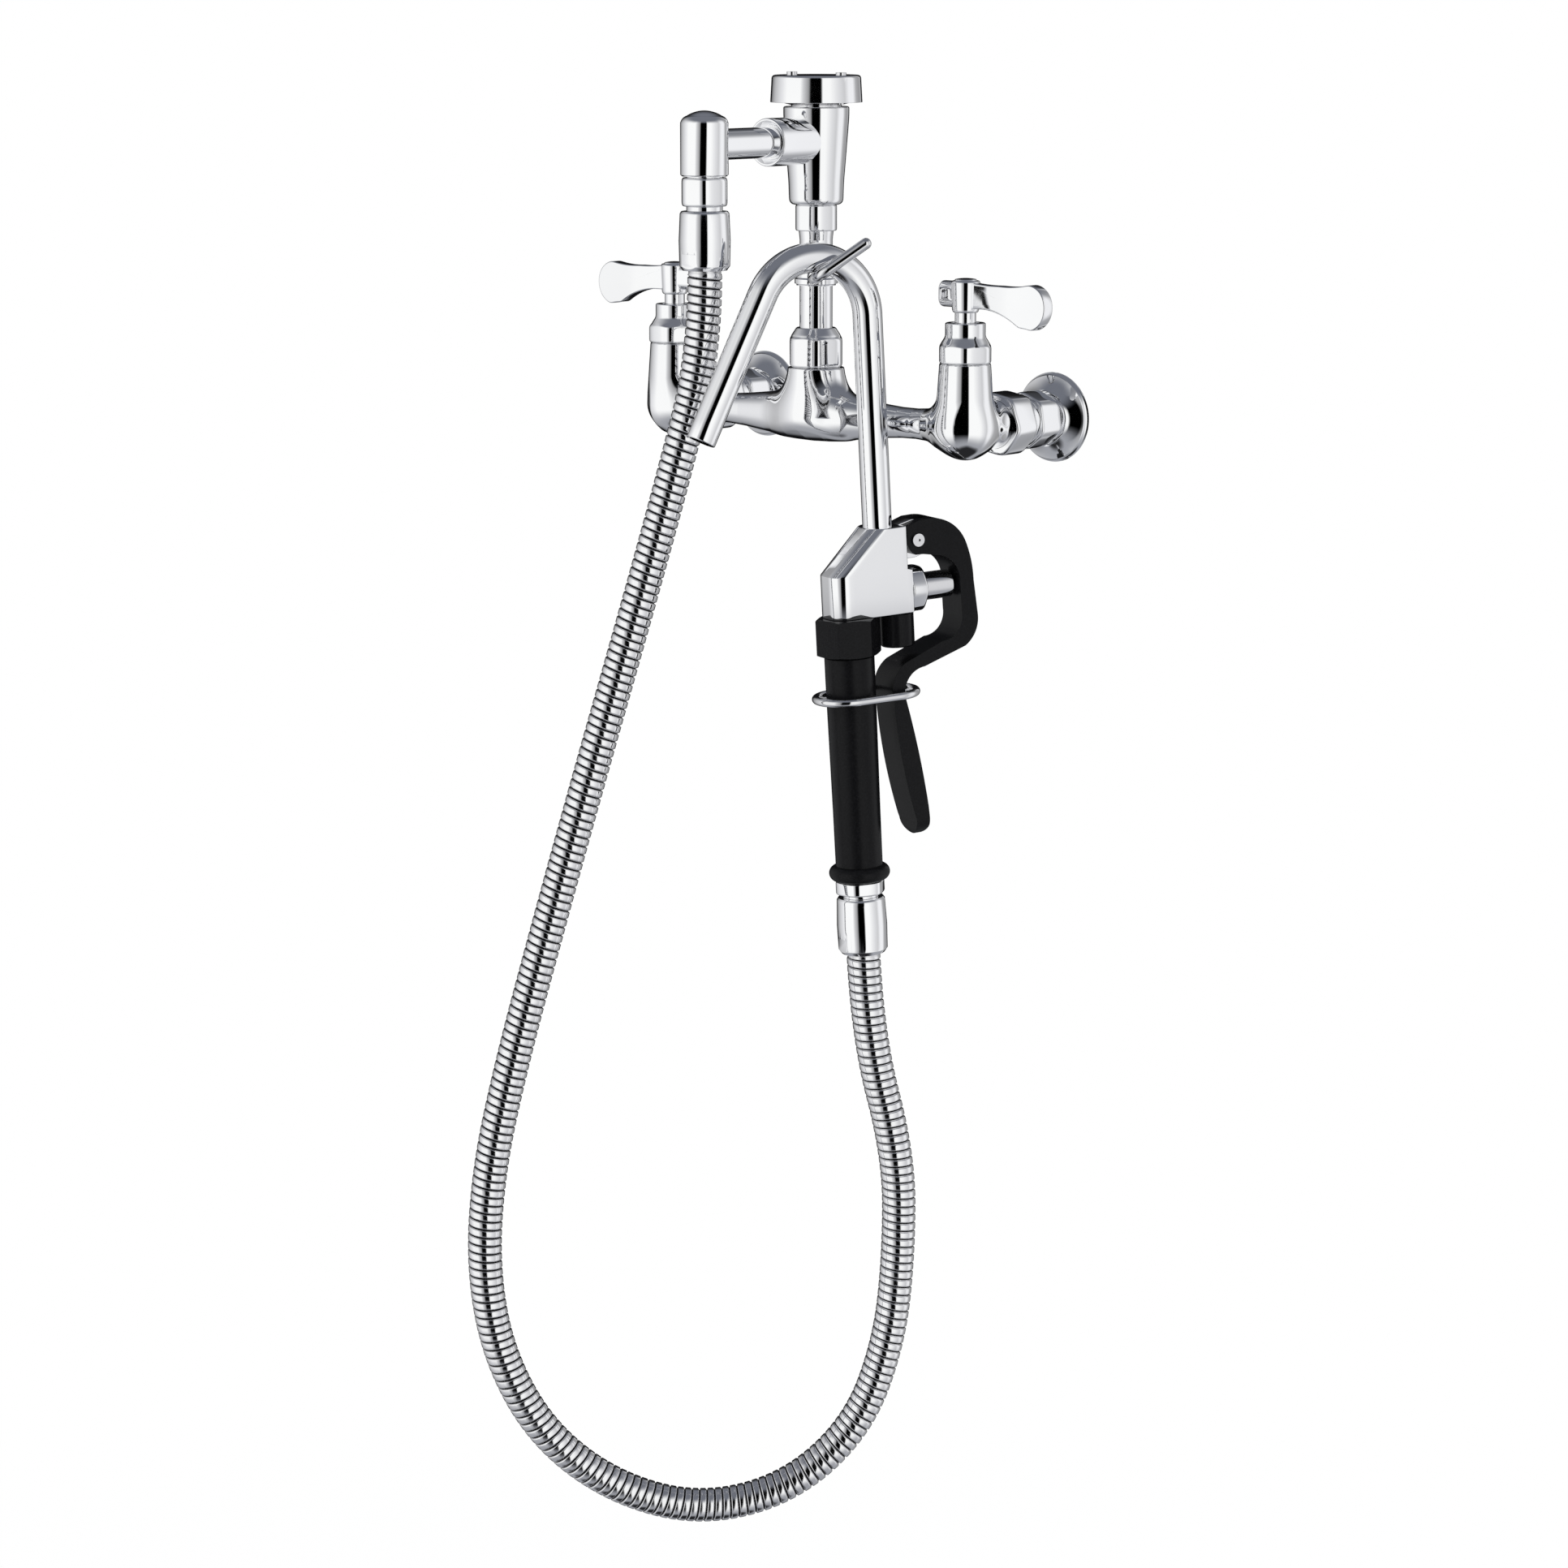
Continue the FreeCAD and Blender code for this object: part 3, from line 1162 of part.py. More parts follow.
def make_handle():
    """The handle under the block: plug, nut, tube, grip, end ring and hose end."""
    axis = size.grip_axis
    low = size.block_low

    def on_axis(item, side):
        lean = math.radians(SIZES["hang_lean"])
        turn = math.radians(SIZES["hang_turn"])
        x, y, z = hang_base()
        along = side * math.cos(lean)
        place(item, x + along * math.sin(turn), y + along * math.cos(turn),
              z + side * math.sin(lean), hang_rotation())

    plug = turned("lower_plug", [
        (0, low - size.plug_length), (size.plug_radius - 0.8, low - size.plug_length),
        (size.plug_radius, low - size.plug_length + 0.8), (size.plug_radius, low - 1.1),
        (4.9, low - 1.1), (4.9, low - 0.02), (0, low - 0.02)])
    on_axis(plug, size.plug_side)

    nut = hex_piece("grip_nut", size.grip_nut_flats, size.grip_nut_low, low - 0.02,
                    size.grip_tube_radius + 0.05, 15.7, 1.0)
    on_axis(nut, axis)

    tube = turned("grip_tube", ring_section(
        6, size.grip_tube_radius, size.end_ring_low - 0.3, low + 3.9))
    on_axis(tube, axis)

    grip = turned("grip_sleeve", [
        (size.grip_tube_radius + 0.05, size.grip_low), (size.grip_radius - 0.7, size.grip_low),
        (size.grip_radius - 0.6, size.grip_low + 30), (size.grip_radius, size.grip_nut_low - 14),
        (size.grip_radius, size.grip_nut_low - 1), (size.grip_radius - 1, size.grip_nut_low - 0.02),
        (size.grip_tube_radius + 0.05, size.grip_nut_low - 0.02)])
    on_axis(grip, axis)

    ring_half = (size.grip_low - size.end_ring_low) / 2
    ring_middle = (size.grip_low + size.end_ring_low) / 2
    ring = turned("grip_end_ring", [
        (size.grip_tube_radius + 0.05, size.end_ring_low),
        (size.end_ring_radius - ring_half, size.end_ring_low, -ring_half),
        (size.end_ring_radius, ring_middle, -ring_half),
        (size.end_ring_radius - ring_half, size.grip_low - 0.02),
        (size.grip_tube_radius + 0.05, size.grip_low - 0.02)])
    on_axis(ring, axis)

    nut = new_body("handle_nut")
    hexagon = new_sketch(nut, "XY_Plane", size.handle_nut_low)
    draw_hexagon(hexagon, size.handle_nut_flats, 19)
    pad(nut, hexagon, size.end_ring_low - size.handle_nut_low - 0.02)
    soften_hexagon(nut, size.handle_nut_flats, size.handle_nut_low, size.end_ring_low - 0.02, 1.0)
    neck = new_sketch(nut, "XY_Plane", size.handle_ferrule_high)
    draw_circle(neck, 0, 0, size.swivel_radius)
    pad(nut, neck, size.handle_nut_low - size.handle_ferrule_high + 1)
    bore = new_sketch(nut, "XZ_Plane")
    draw(bore, [
        (0, size.handle_ferrule_high - 1), (5, size.handle_ferrule_high - 1),
        (5, size.end_ring_low - 3.4), (size.grip_tube_radius + 0.05, size.end_ring_low - 3.4),
        (size.grip_tube_radius + 0.05, size.end_ring_low + 1), (0, size.end_ring_low + 1)])
    groove(nut, bore)
    on_axis(nut, axis)

    washer = turned("hose_bottom_washer", ring_section(
        5.2, 7.6, size.end_ring_low - 3.3, size.end_ring_low - 0.4))
    on_axis(washer, axis)

    ferrule = make_ferrule("hose_bottom_ferrule")
    lean = math.radians(SIZES["hang_lean"])
    turn = math.radians(SIZES["hang_turn"])
    x, y, z = hang_base()
    along = axis * math.cos(lean) - size.handle_ferrule_high * math.sin(lean)
    place(ferrule, x + along * math.sin(turn), y + along * math.cos(turn),
          z + axis * math.sin(lean) + size.handle_ferrule_high * math.cos(lean),
          hang_rotation())

    make_hold_ring()


def make_hold_ring():
    """The wire ring round grip and trigger that holds the valve open when pushed down."""
    ring = new_body("hold_ring")
    path = new_sketch(ring, "XY_Plane", size.hold_ring_level)
    wire = size.hold_ring_wire
    half = size.hold_ring_width / 2 - wire
    straight = (size.hold_ring_length - size.hold_ring_width) / 2
    near, far = size.hold_ring_side - straight, size.hold_ring_side + straight
    draw(path, [
        (-half, far), (-half, near, -half), (0, near - half, -half), (half, near),
        (half, far, -half), (0, far + half, -half)])
    section = new_sketch(ring, "XZ_Plane", -size.hold_ring_side)
    draw_circle(section, -half, size.hold_ring_level, wire)
    doc.recompute()
    pipe = ring.newObject("PartDesign::AdditivePipe", "hold_ring_pipe")
    pipe.Profile = section
    pipe.Spine = path
    in_hand(ring)


def hose_points():
    """The route in the shared frame. Its last two points lie on the axis of the grip."""
    base = [value.number for value in hang_base()]
    placement = FreeCAD.Placement(FreeCAD.Vector(*base), hang_rotation())
    mouth = SIZES["handle_ferrule_high"] - SIZES["ferrule_length"]
    end = placement.multVec(FreeCAD.Vector(0, SIZES["grip_axis"], mouth))
    before = placement.multVec(FreeCAD.Vector(0, SIZES["grip_axis"], mouth - HOSE_END_RUN))
    elbow = FreeCAD.Vector(0, -SIZES["reach"] - SIZES["elbow_reach"], 0)
    level = FreeCAD.Vector(end.x - elbow.x, end.y - elbow.y, 0).normalize()
    route = [elbow + level * along + FreeCAD.Vector(0, 0, height) for along, height in HOSE_ROUTE]
    return route + [before, end], FreeCAD.Vector(level.y, -level.x, 0)


def hose_path(route):
    """Straight runs joined by tangent arcs, each arc as large as its two runs allow."""
    edges = []
    radii = []
    last = route[0]
    for before, corner, after in zip(route[:-2], route[1:-1], route[2:]):
        first = (before - corner).normalize()
        second = (after - corner).normalize()
        half_turn = (math.pi - first.getAngle(second)) / 2
        shorter = min((before - corner).Length, (after - corner).Length)
        radius = 0.45 * shorter / math.tan(half_turn)
        reach_back = 0.45 * shorter
        start = corner + first * reach_back
        end = corner + second * reach_back
        bisector = (first + second).normalize()
        middle = corner + bisector * (radius / math.cos(half_turn) - radius)
        edges.append(Part.LineSegment(last, start).toShape())
        edges.append(Part.Arc(start, middle, end).toShape())
        radii.append(radius)
        last = end
    edges.append(Part.LineSegment(last, route[-1]).toShape())
    return edges, radii


def point_on_path(edges, distance):
    """Point and direction at a distance along a chain of edges."""
    for edge in edges:
        if distance <= edge.Length or edge is edges[-1]:
            at = edge.getParameterByLength(min(distance, edge.Length))
            return edge.valueAt(at), edge.tangentAt(at)
        distance -= edge.Length
    raise ValueError("distance is past the end of the path")


def make_hose():
    """The ribbed steel hose: ribs of four circles each along the route, with a plain bore."""
    route, across = hose_points()
    edges, radii = hose_path(route)
    length = sum(edge.Length for edge in edges)
    outer, inner = SIZES["hose_radius"], SIZES["hose_groove_radius"]
    plain = HOSE_DIAMETER
    pitch = (length - 2 * plain) / HOSE_RIBS

    def circle(distance, radius):
        point, direction = point_on_path(edges, distance)
        spot = Part.Circle(point, direction, radius)
        spot.XAxis = across
        return Part.Wire(spot.toShape())

    stations = [(0.0, inner), (plain, inner)]
    for rib in range(HOSE_RIBS):
        base = plain + rib * pitch
        stations += [(base + 0.12 * pitch, inner), (base + 0.26 * pitch, outer),
                     (base + 0.80 * pitch, outer), (base + 0.94 * pitch, inner)]
    stations += [(length - plain, inner), (length, inner)]
    skin = Part.makeLoft([circle(distance, radius) for distance, radius in stations], True, True)
    steps = 48
    bore = Part.makeLoft([circle(length * step / steps, SIZES["hose_bore_radius"])
                          for step in range(steps + 1)], True, True)
    shape = skin.cut(bore)
    hose = doc.addObject("Part::Feature", "hose")
    hose.Label = "hose"
    hose.Shape = shape
    nodes.append(hose)

    mean_area = shape.Volume / length
    plain_area = math.pi * (outer ** 2 - SIZES["hose_bore_radius"] ** 2)
    print("hose length", round(length, 1), "least radius", round(min(radii), 1))
    print("hose radii", [round(value) for value in radii])
    print("hose section from volume", round(mean_area, 1), "of a plain tube", round(plain_area, 1))


def check_and_write():
    """Stop on any failed object, then write each node's shape."""
    doc.recompute()
    for item in doc.Objects:
        if "Invalid" in item.State or "Error" in item.State:
            raise RuntimeError("failed: " + item.Label + " " + str(item.State))
    os.makedirs("parts", exist_ok=True)
    for node in nodes:
        shape = node.Shape
        if shape.isNull() or not shape.isValid():
            raise RuntimeError("no sound shape: " + node.Label)
        shape.exportStep("parts/" + node.Label + ".step")
    print(len(nodes), "nodes written")


make_faucet_body()
for valve_side, valve_label in ((-1, "left"), (1, "right")):
    make_valve(valve_side, valve_label)
    make_supply(valve_side, valve_label)
make_riser()
make_hook()
make_breaker()
make_side_arm()
make_nozzle_tube()
make_valve_block()
make_valve_inside()
make_trigger()
make_handle()
make_hose()
check_and_write()
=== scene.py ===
# %% [markdown]
# # A wall faucet with a hooked filling nozzle
# The real thing is chromed brass: a cast bar with two lever valves, a riser with a vacuum
# breaker, and a ribbed steel hose that ends in a hand valve hung on a wire hook.
# The measured model is loaded first and stays where it is. Everything below either gives one
# of its parts a finish, or puts a fuller shape in a part's place.

# %% Load the measured model
import json
import math
import bmesh
import bpy
import numpy as np
from mathutils import Matrix, Vector


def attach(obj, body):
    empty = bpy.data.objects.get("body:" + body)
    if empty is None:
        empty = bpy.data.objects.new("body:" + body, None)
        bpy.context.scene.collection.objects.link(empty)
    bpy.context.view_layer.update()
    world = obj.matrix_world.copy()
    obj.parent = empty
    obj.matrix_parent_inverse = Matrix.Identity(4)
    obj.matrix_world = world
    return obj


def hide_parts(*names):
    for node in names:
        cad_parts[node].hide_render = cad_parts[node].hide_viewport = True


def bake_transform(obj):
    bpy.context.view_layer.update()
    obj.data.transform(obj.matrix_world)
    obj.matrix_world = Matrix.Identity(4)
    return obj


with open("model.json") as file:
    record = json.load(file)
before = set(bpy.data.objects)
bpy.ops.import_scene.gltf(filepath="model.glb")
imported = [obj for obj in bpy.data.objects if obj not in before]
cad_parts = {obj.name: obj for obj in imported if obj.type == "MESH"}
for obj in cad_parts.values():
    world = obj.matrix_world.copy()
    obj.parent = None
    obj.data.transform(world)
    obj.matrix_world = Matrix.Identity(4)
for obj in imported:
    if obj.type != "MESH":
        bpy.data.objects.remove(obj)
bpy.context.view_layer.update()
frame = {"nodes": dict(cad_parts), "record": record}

nodes = frame["nodes"]
MM = 0.001
print(len(nodes), "parts in the measured model")

# %% [markdown]
# ## The camera
# The photo was taken from the front right, a little above the faucet, with a long lens from
# more than two metres away. The place, the aim and the lens were worked out from the photo by
# matching the ends of the bar, the riser and the hand valve.

# %% Camera
CAMERA_PLACE = np.array([1.5202, -1.8447, 0.2318])
CAMERA_TURN = math.radians(41.081)
CAMERA_PITCH = math.radians(10.488)
SENSOR_WIDTH = 36.0
PHOTO_WIDTH, FOCAL_PIXELS = 1932.0, 5399.0
forward = Vector((-math.sin(CAMERA_TURN) * math.cos(CAMERA_PITCH),
                  math.cos(CAMERA_TURN) * math.cos(CAMERA_PITCH), -math.sin(CAMERA_PITCH)))
camera_data = bpy.data.cameras.new("camera")
camera_data.sensor_fit = "HORIZONTAL"
camera_data.sensor_width = SENSOR_WIDTH
camera_data.lens = SENSOR_WIDTH * FOCAL_PIXELS / PHOTO_WIDTH
camera_data.clip_end = 50.0
camera = bpy.data.objects.new("camera", camera_data)
camera.location = CAMERA_PLACE.tolist()
camera.rotation_euler = forward.to_track_quat("-Z", "Y").to_euler()
bpy.context.scene.collection.objects.link(camera)
bpy.context.scene.camera = camera
print("lens", round(camera_data.lens, 1), "mm")

# %% [markdown]
# ## The frame of the hand valve
# The hand valve hangs in a plane of its own, turned from the wall and leaning a little. Its
# shapes are easiest to write in that frame, with the origin at the centre of the nozzle's
# bend, and one matrix takes them to the shared frame.

# %% The hand valve's own frame
HANG_OFFSET, HANG_SIDE, HANG_HEIGHT, REACH = 60.0, -33.0, 55.9, 75.0
HANG_TURN, HANG_LEAN = math.radians(22.0), math.radians(3.2)
GRIP_AXIS = 12.0
hang_base = Vector((
    HANG_OFFSET * math.cos(HANG_TURN) + HANG_SIDE * math.sin(HANG_TURN),
    HANG_SIDE * math.cos(HANG_TURN) - HANG_OFFSET * math.sin(HANG_TURN) - REACH, HANG_HEIGHT))
in_hand = (Matrix.Translation(hang_base) @ Matrix.Rotation(-HANG_TURN, 4, "Z")
           @ Matrix.Rotation(HANG_LEAN, 4, "X"))
print("centre of the nozzle's bend", [round(value, 1) for value in hang_base], "mm")

# %% [markdown]
# ## The route of the hose
# A steel hose is a fixed length that hangs under its own weight, so its route comes before
# its looks. It leaves the ferrule under the elbow, falls away from the wall, turns in one
# wide loop and comes up into the ferrule under the grip. The points are the control points
# of a smooth NURBS curve, in the plane through the elbow and the grip.

# %% Hose route
HOSE_RADIUS = 9.0
FERRULE_MOUTH = -337.7
END_RUN = 46.0
elbow = np.array([0.0, -163.0, 0.0])
hose_end = np.array(in_hand @ Vector((0.0, GRIP_AXIS, FERRULE_MOUTH)))
hose_before = np.array(in_hand @ Vector((0.0, GRIP_AXIS, FERRULE_MOUTH - END_RUN)))
level = (hose_end - elbow) * [1.0, 1.0, 0.0]
level = level / np.linalg.norm(level)
across = np.array([level[1], -level[0], 0.0])
along_and_high = np.array([
    (0.0, 81.2), (0.0, 39.0), (-18.0, -30.0), (-39.0, -104.0), (-62.0, -183.0),
    (-84.0, -261.0), (-104.0, -334.0), (-117.0, -392.0), (-121.0, -446.0), (-113.0, -496.0),
    (-90.0, -541.0), (-52.0, -573.0), (-4.4, -588.5), (44.5, -578.0), (81.7, -544.6),
    (98.8, -497.6), (103.8, -447.7), (103.6, -394.0)])
route = elbow + along_and_high[:, :1] * level + along_and_high[:, 1:] * [0.0, 0.0, 1.0]
route = np.vstack([route, hose_before, hose_end])
curve = bpy.data.curves.new("hose_route", "CURVE")
curve.dimensions = "3D"
spline = curve.splines.new("NURBS")
spline.points.add(len(route) - 1)
spline.points.foreach_set(
    "co", np.column_stack([route * MM, np.ones(len(route))]).astype(np.float32).ravel())
spline.order_u = 3
spline.use_endpoint_u = True
spline.resolution_u = 64
route_object = bpy.data.objects.new("hose_route", curve)
bpy.context.scene.collection.objects.link(route_object)
bpy.context.view_layer.update()
line_mesh = bpy.data.meshes.new_from_object(route_object)
line = np.empty(len(line_mesh.vertices) * 3)
line_mesh.vertices.foreach_get("co", line)
line = line.reshape(-1, 3)
bpy.data.objects.remove(route_object)
bpy.data.meshes.remove(line_mesh)
steps = np.linalg.norm(np.diff(line, axis=0), axis=1)
travelled = np.concatenate([[0.0], np.cumsum(steps)])
hose_length = travelled[-1]
print("hose length", round(hose_length, 4), "m, lowest point", round(line[:, 2].min(), 3), "m")

# %% [markdown]
# ## From a grid of points to a piece
# Most shapes here are a function of two parameters on a grid. One helper joins the grid's
# neighbours with four-sided faces, closes it in either direction, and makes the mesh. A piece
# is finished by merging the points that fall together, such as those at a pole.

# %% Grid helpers
def grid_faces(rows, columns, wrap_rows=False, wrap_columns=True, first=0):
    """Faces of a grid: each joins (row, column) to the next row and the next column."""
    row = np.arange(rows if wrap_rows else rows - 1)[:, None]
    column = np.arange(columns if wrap_columns else columns - 1)[None, :]
    next_row, next_column = (row + 1) % rows, (column + 1) % columns
    corners = [row * columns + column, row * columns + next_column,
               next_row * columns + next_column, next_row * columns + column]
    return np.stack(np.broadcast_arrays(*corners), axis=-1).reshape(-1, 4) + first


def build_mesh(name, grids, sharp=35.0):
    """One closed mesh of several grids. A grid is (points in mm, wrap rows, wrap columns)."""
    points, faces, count = [], [], 0
    for grid, wrap_rows, wrap_columns in grids:
        rows, columns = grid.shape[:2]
        faces.append(grid_faces(rows, columns, wrap_rows, wrap_columns, count))
        points.append(grid.reshape(-1, 3) * MM)
        count += rows * columns
    mesh = bpy.data.meshes.new(name)
    mesh.from_pydata(np.vstack(points).tolist(), [], np.vstack(faces).tolist())
    work = bmesh.new()
    work.from_mesh(mesh)
    bmesh.ops.remove_doubles(work, verts=work.verts, dist=2e-6)
    bmesh.ops.recalc_face_normals(work, faces=work.faces)
    work.to_mesh(mesh)
    work.free()
    mesh.shade_smooth()
    mesh.set_sharp_from_angle(angle=math.radians(sharp))
    return mesh


def make_piece(name, mesh, body, finish, slot, *replaced):
    """Put a mesh in the scene as a piece that rides on a body and stands for some nodes."""
    piece = bpy.data.objects.new(name, mesh)
    bpy.context.scene.collection.objects.link(piece)
    mesh.materials.clear()
    mesh.materials.append(finish)
    if body is not None:
        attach(piece, body)
    if replaced:
        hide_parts(*replaced)
    print(name, len(mesh.polygons), "faces")
    return piece


print("a closed band of 2 rings with 6 points each has", len(grid_faces(2, 6)), "faces")

# %% [markdown]
# ## Shader maths as plain expressions
# A material is a small program. Wrapping each output socket in a class lets the maths be
# written as usual, so that `1 - mask * 0.5` adds the nodes that work it out.

# %% Sockets that do arithmetic
class Wire:
    """An output socket. Arithmetic on it adds Math nodes to the same tree."""

    def __init__(self, finish, socket):
        self.finish = finish
        self.socket = socket

    def joined(self, operation, first, second):
        return self.finish.node("ShaderNodeMath", {"operation": operation},
                                {0: first, 1: second})

    def __add__(self, other):
        return self.joined("ADD", self, other)

    __radd__ = __add__

    def __sub__(self, other):
        return self.joined("SUBTRACT", self, other)

    def __rsub__(self, other):
        return self.joined("SUBTRACT", other, self)

    def __mul__(self, other):
        return self.joined("MULTIPLY", self, other)

    __rmul__ = __mul__

    def above(self, edge, width):
        """0 below the edge and 1 above it, with a soft step of the given width."""
        return self.finish.node("ShaderNodeMapRange", {"interpolation_type": "SMOOTHSTEP"},
                                {"Value": self, "From Min": edge - width / 2,
                                 "From Max": edge + width / 2})

    def other(self, output):
        """Another output of the node that this one belongs to."""
        return Wire(self.finish, self.socket.node.outputs[output])


print("sockets can be added, subtracted and multiplied")

# %% Node trees
class Finish:
    """A node tree under construction, for a material or the world."""

    def __init__(self, tree):
        self.tree = tree

    def node(self, kind, settings=None, inputs=None, output=0):
        """Add any node: its settings first, then the values or links of its sockets."""
        made = self.tree.nodes.new(kind)
        for key, value in (settings or {}).items():
            if key == "stops":
                ramp = made.color_ramp
                while len(ramp.elements) < len(value):
                    ramp.elements.new(0.5)
                for element, (place, colour) in zip(ramp.elements, value):
                    element.position = place
                    element.color = colour
            else:
                setattr(made, key, value)
        for key, value in (inputs or {}).items():
            if isinstance(value, Wire):
                self.tree.links.new(value.socket, made.inputs[key])
            else:
                made.inputs[key].default_value = value
        return Wire(self, made.outputs[output]) if len(made.outputs) else None

    def place(self):
        """Object coordinates in metres."""
        return self.node("ShaderNodeTexCoord", output="Object")

    def noise(self, scale, detail=2.0, roughness=0.5, where=None):
        """Noise from 0 to 1 at so many lumps to the metre."""
        return self.node("ShaderNodeTexNoise", {}, {
            "Vector": where or self.place(), "Scale": scale, "Detail": detail,
            "Roughness": roughness})

    def mix(self, factor, first, second):
        """First colour where the factor is 0, second where it is 1."""
        return self.node("ShaderNodeMix", {"data_type": "RGBA"},
                         {"Factor": factor, 6: first, 7: second}, output=2)

    def bump(self, height, distance):
        """A normal from a height of 0 to 1 that stands for the given distance in metres."""
        return self.node("ShaderNodeBump", {}, {"Height": height, "Distance": distance})


print("a tree takes noise, mixes and bumps, or any other node")

# %% A new material
def new_finish(name, metallic, roughness, colour, **fixed):
    """A material with one Principled shader, and the tree that the rest is added to."""
    material = bpy.data.materials.new(name)
    material.use_nodes = True
    shader = material.node_tree.nodes["Principled BSDF"]
    shader.inputs["Metallic"].default_value = metallic
    shader.inputs["Roughness"].default_value = roughness
    shader.inputs["Base Color"].default_value = (*colour, 1.0)
    for key, value in fixed.items():
        shader.inputs[key].default_value = value
    return material, shader, Finish(material.node_tree)


def connect(shader, finish, socket, wire):
    """Lead a wire into one of the shader's sockets."""
    finish.tree.links.new(wire.socket, shader.inputs[socket])


print("a material starts as one Principled shader")

# %% [markdown]
# ## Chrome
# Chrome plate is a mirror with a cold, slightly dark tint. Its life comes from what it
# reflects. A casting under chrome is never quite flat, so a very low, wide bump bends the
# reflections, and faint wiping marks change the roughness.

# %% Chrome on turned parts and on castings
SMEAR = 0.05
MIRROR, STEEL = (0.93, 0.932, 0.94), (0.80, 0.80, 0.81)


def make_chrome(name, waviness, roughness, colour):
    """Chrome whose surface waves by so many metres over patches of about a centimetre."""
    material, shader, finish = new_finish(name, 1.0, roughness, colour)
    smears = finish.noise(55.0, 4.0, 0.62)
    connect(shader, finish, "Roughness", smears.above(0.62, 0.30) * SMEAR + roughness)
    dull = finish.noise(21.0, 2.0)
    pale = tuple(min(1.0, value * 1.03) for value in colour)
    connect(shader, finish, "Base Color", finish.mix(
        dull.above(0.5, 0.5), (*colour, 1.0), (*pale, 1.0)))
    if waviness > 0.0:
        waves = finish.noise(34.0, 1.0)
        connect(shader, finish, "Normal", finish.bump(waves, waviness))
    return material


chrome = make_chrome("turned chrome", 0.0, 0.03, MIRROR)
cast_chrome = make_chrome("cast chrome", 0.00004, 0.035, MIRROR)
bright_steel = make_chrome("bright steel", 0.0, 0.07, STEEL)
print(chrome.name, "and", cast_chrome.name, "and", bright_steel.name)

# %% [markdown]
# ## Black plastic
# The grip, its collar, the plug and the squeeze lever are moulded in black nylon. It is not a
# mirror: a fine leathery grain breaks up the highlight, and handling polishes it in places.

# %% Moulded black
NYLON, RUBBER = (0.004, 0.004, 0.0045), (0.02, 0.02, 0.02)


def make_black(name, colour, roughness, grain):
    """Satin black with a fine grain of the given depth and slightly uneven polish."""
    material, shader, finish = new_finish(name, 0.0, roughness, colour,
                                          **{"Specular IOR Level": 0.12})
    handled = finish.noise(18.0, 3.0)
    connect(shader, finish, "Roughness", handled.above(0.5, 0.6) * 0.10 + (roughness - 0.05))
    fine = finish.noise(2600.0, 2.0)
    coarse = finish.noise(900.0, 2.0)
    connect(shader, finish, "Normal", finish.bump(fine * 0.6 + coarse * 0.4, grain))
    lighter = tuple(value * 1.5 for value in colour)
    connect(shader, finish, "Base Color", finish.mix(
        coarse.above(0.55, 0.3), (*colour, 1.0), (*lighter, 1.0)))
    return material


black_grip = make_black("moulded black grip", NYLON, 0.30, 0.00002)
black_nut = make_black("moulded black nut", NYLON, 0.24, 0.00001)
rubber = make_black("black rubber", RUBBER, 0.75, 0.00005)
print(black_grip.name, "and", black_nut.name, "and", rubber.name)

# %% [markdown]
# ## Machined brass
# Brass shows only inside: on the cartridges, the poppet and the top of the vacuum breaker. It
# keeps the fine rings of the lathe, which a stretched noise gives.

# %% Machined brass
brass, brass_shader, brass_finish = new_finish(
    "machined brass", 1.0, 0.28, (0.72, 0.53, 0.25))
lathe_rings = brass_finish.node("ShaderNodeMapping", {}, {
    "Vector": brass_finish.place(), "Scale": (1.0, 1.0, 60.0)})
rings = brass_finish.noise(70.0, 3.0, where=lathe_rings)
connect(brass_shader, brass_finish, "Roughness", rings * 0.18 + 0.18)
connect(brass_shader, brass_finish, "Normal", brass_finish.bump(rings, 0.00003))
print(brass.name)

# %% [markdown]
# ## A finish for every measured part
# Each part that keeps its measured shape gets one of the finishes above. The parts that are
# replaced later get one too, so nothing is left plain.

# %% Hand out the finishes
FINISHES = {
    "polished_chrome": chrome, "bright_steel": bright_steel, "hose_steel": bright_steel,
    "bare_brass": brass, "black_grip": black_grip, "black_nut": black_nut,
    "dark_rubber": rubber,
}
slot_of = {part["node"]: part["material_slot"] for part in frame["record"]["subparts"]}
body_of = {name: body for body, names in frame["record"]["behaviour"]["bodies"].items()
           for name in names}
for name, node in nodes.items():
    node.data.materials.clear()
    node.data.materials.append(FINISHES[slot_of[name]])
for name in ("faucet_body", "breaker_body", "left_lever", "right_lever"):
    nodes[name].data.materials[0] = cast_chrome
for name in ("breaker_top", "left_cartridge", "right_cartridge"):
    nodes[name].data.materials[0] = bright_steel
nodes["grip_end_ring"].data.materials[0] = black_grip
print("finishes on", len(nodes), "parts")

# %% [markdown]
# ## Edges that catch the light
# No machined or moulded edge is perfectly sharp, and on chrome the narrow rounding shows as
# a bright or dark line. Each part with hard edges is copied, its flat triangles are joined
# into whole faces, and its edges are rounded by the width that the real part has.

# %% Round the edges
EDGE = math.radians(32.0)
FLAT = math.radians(0.4)


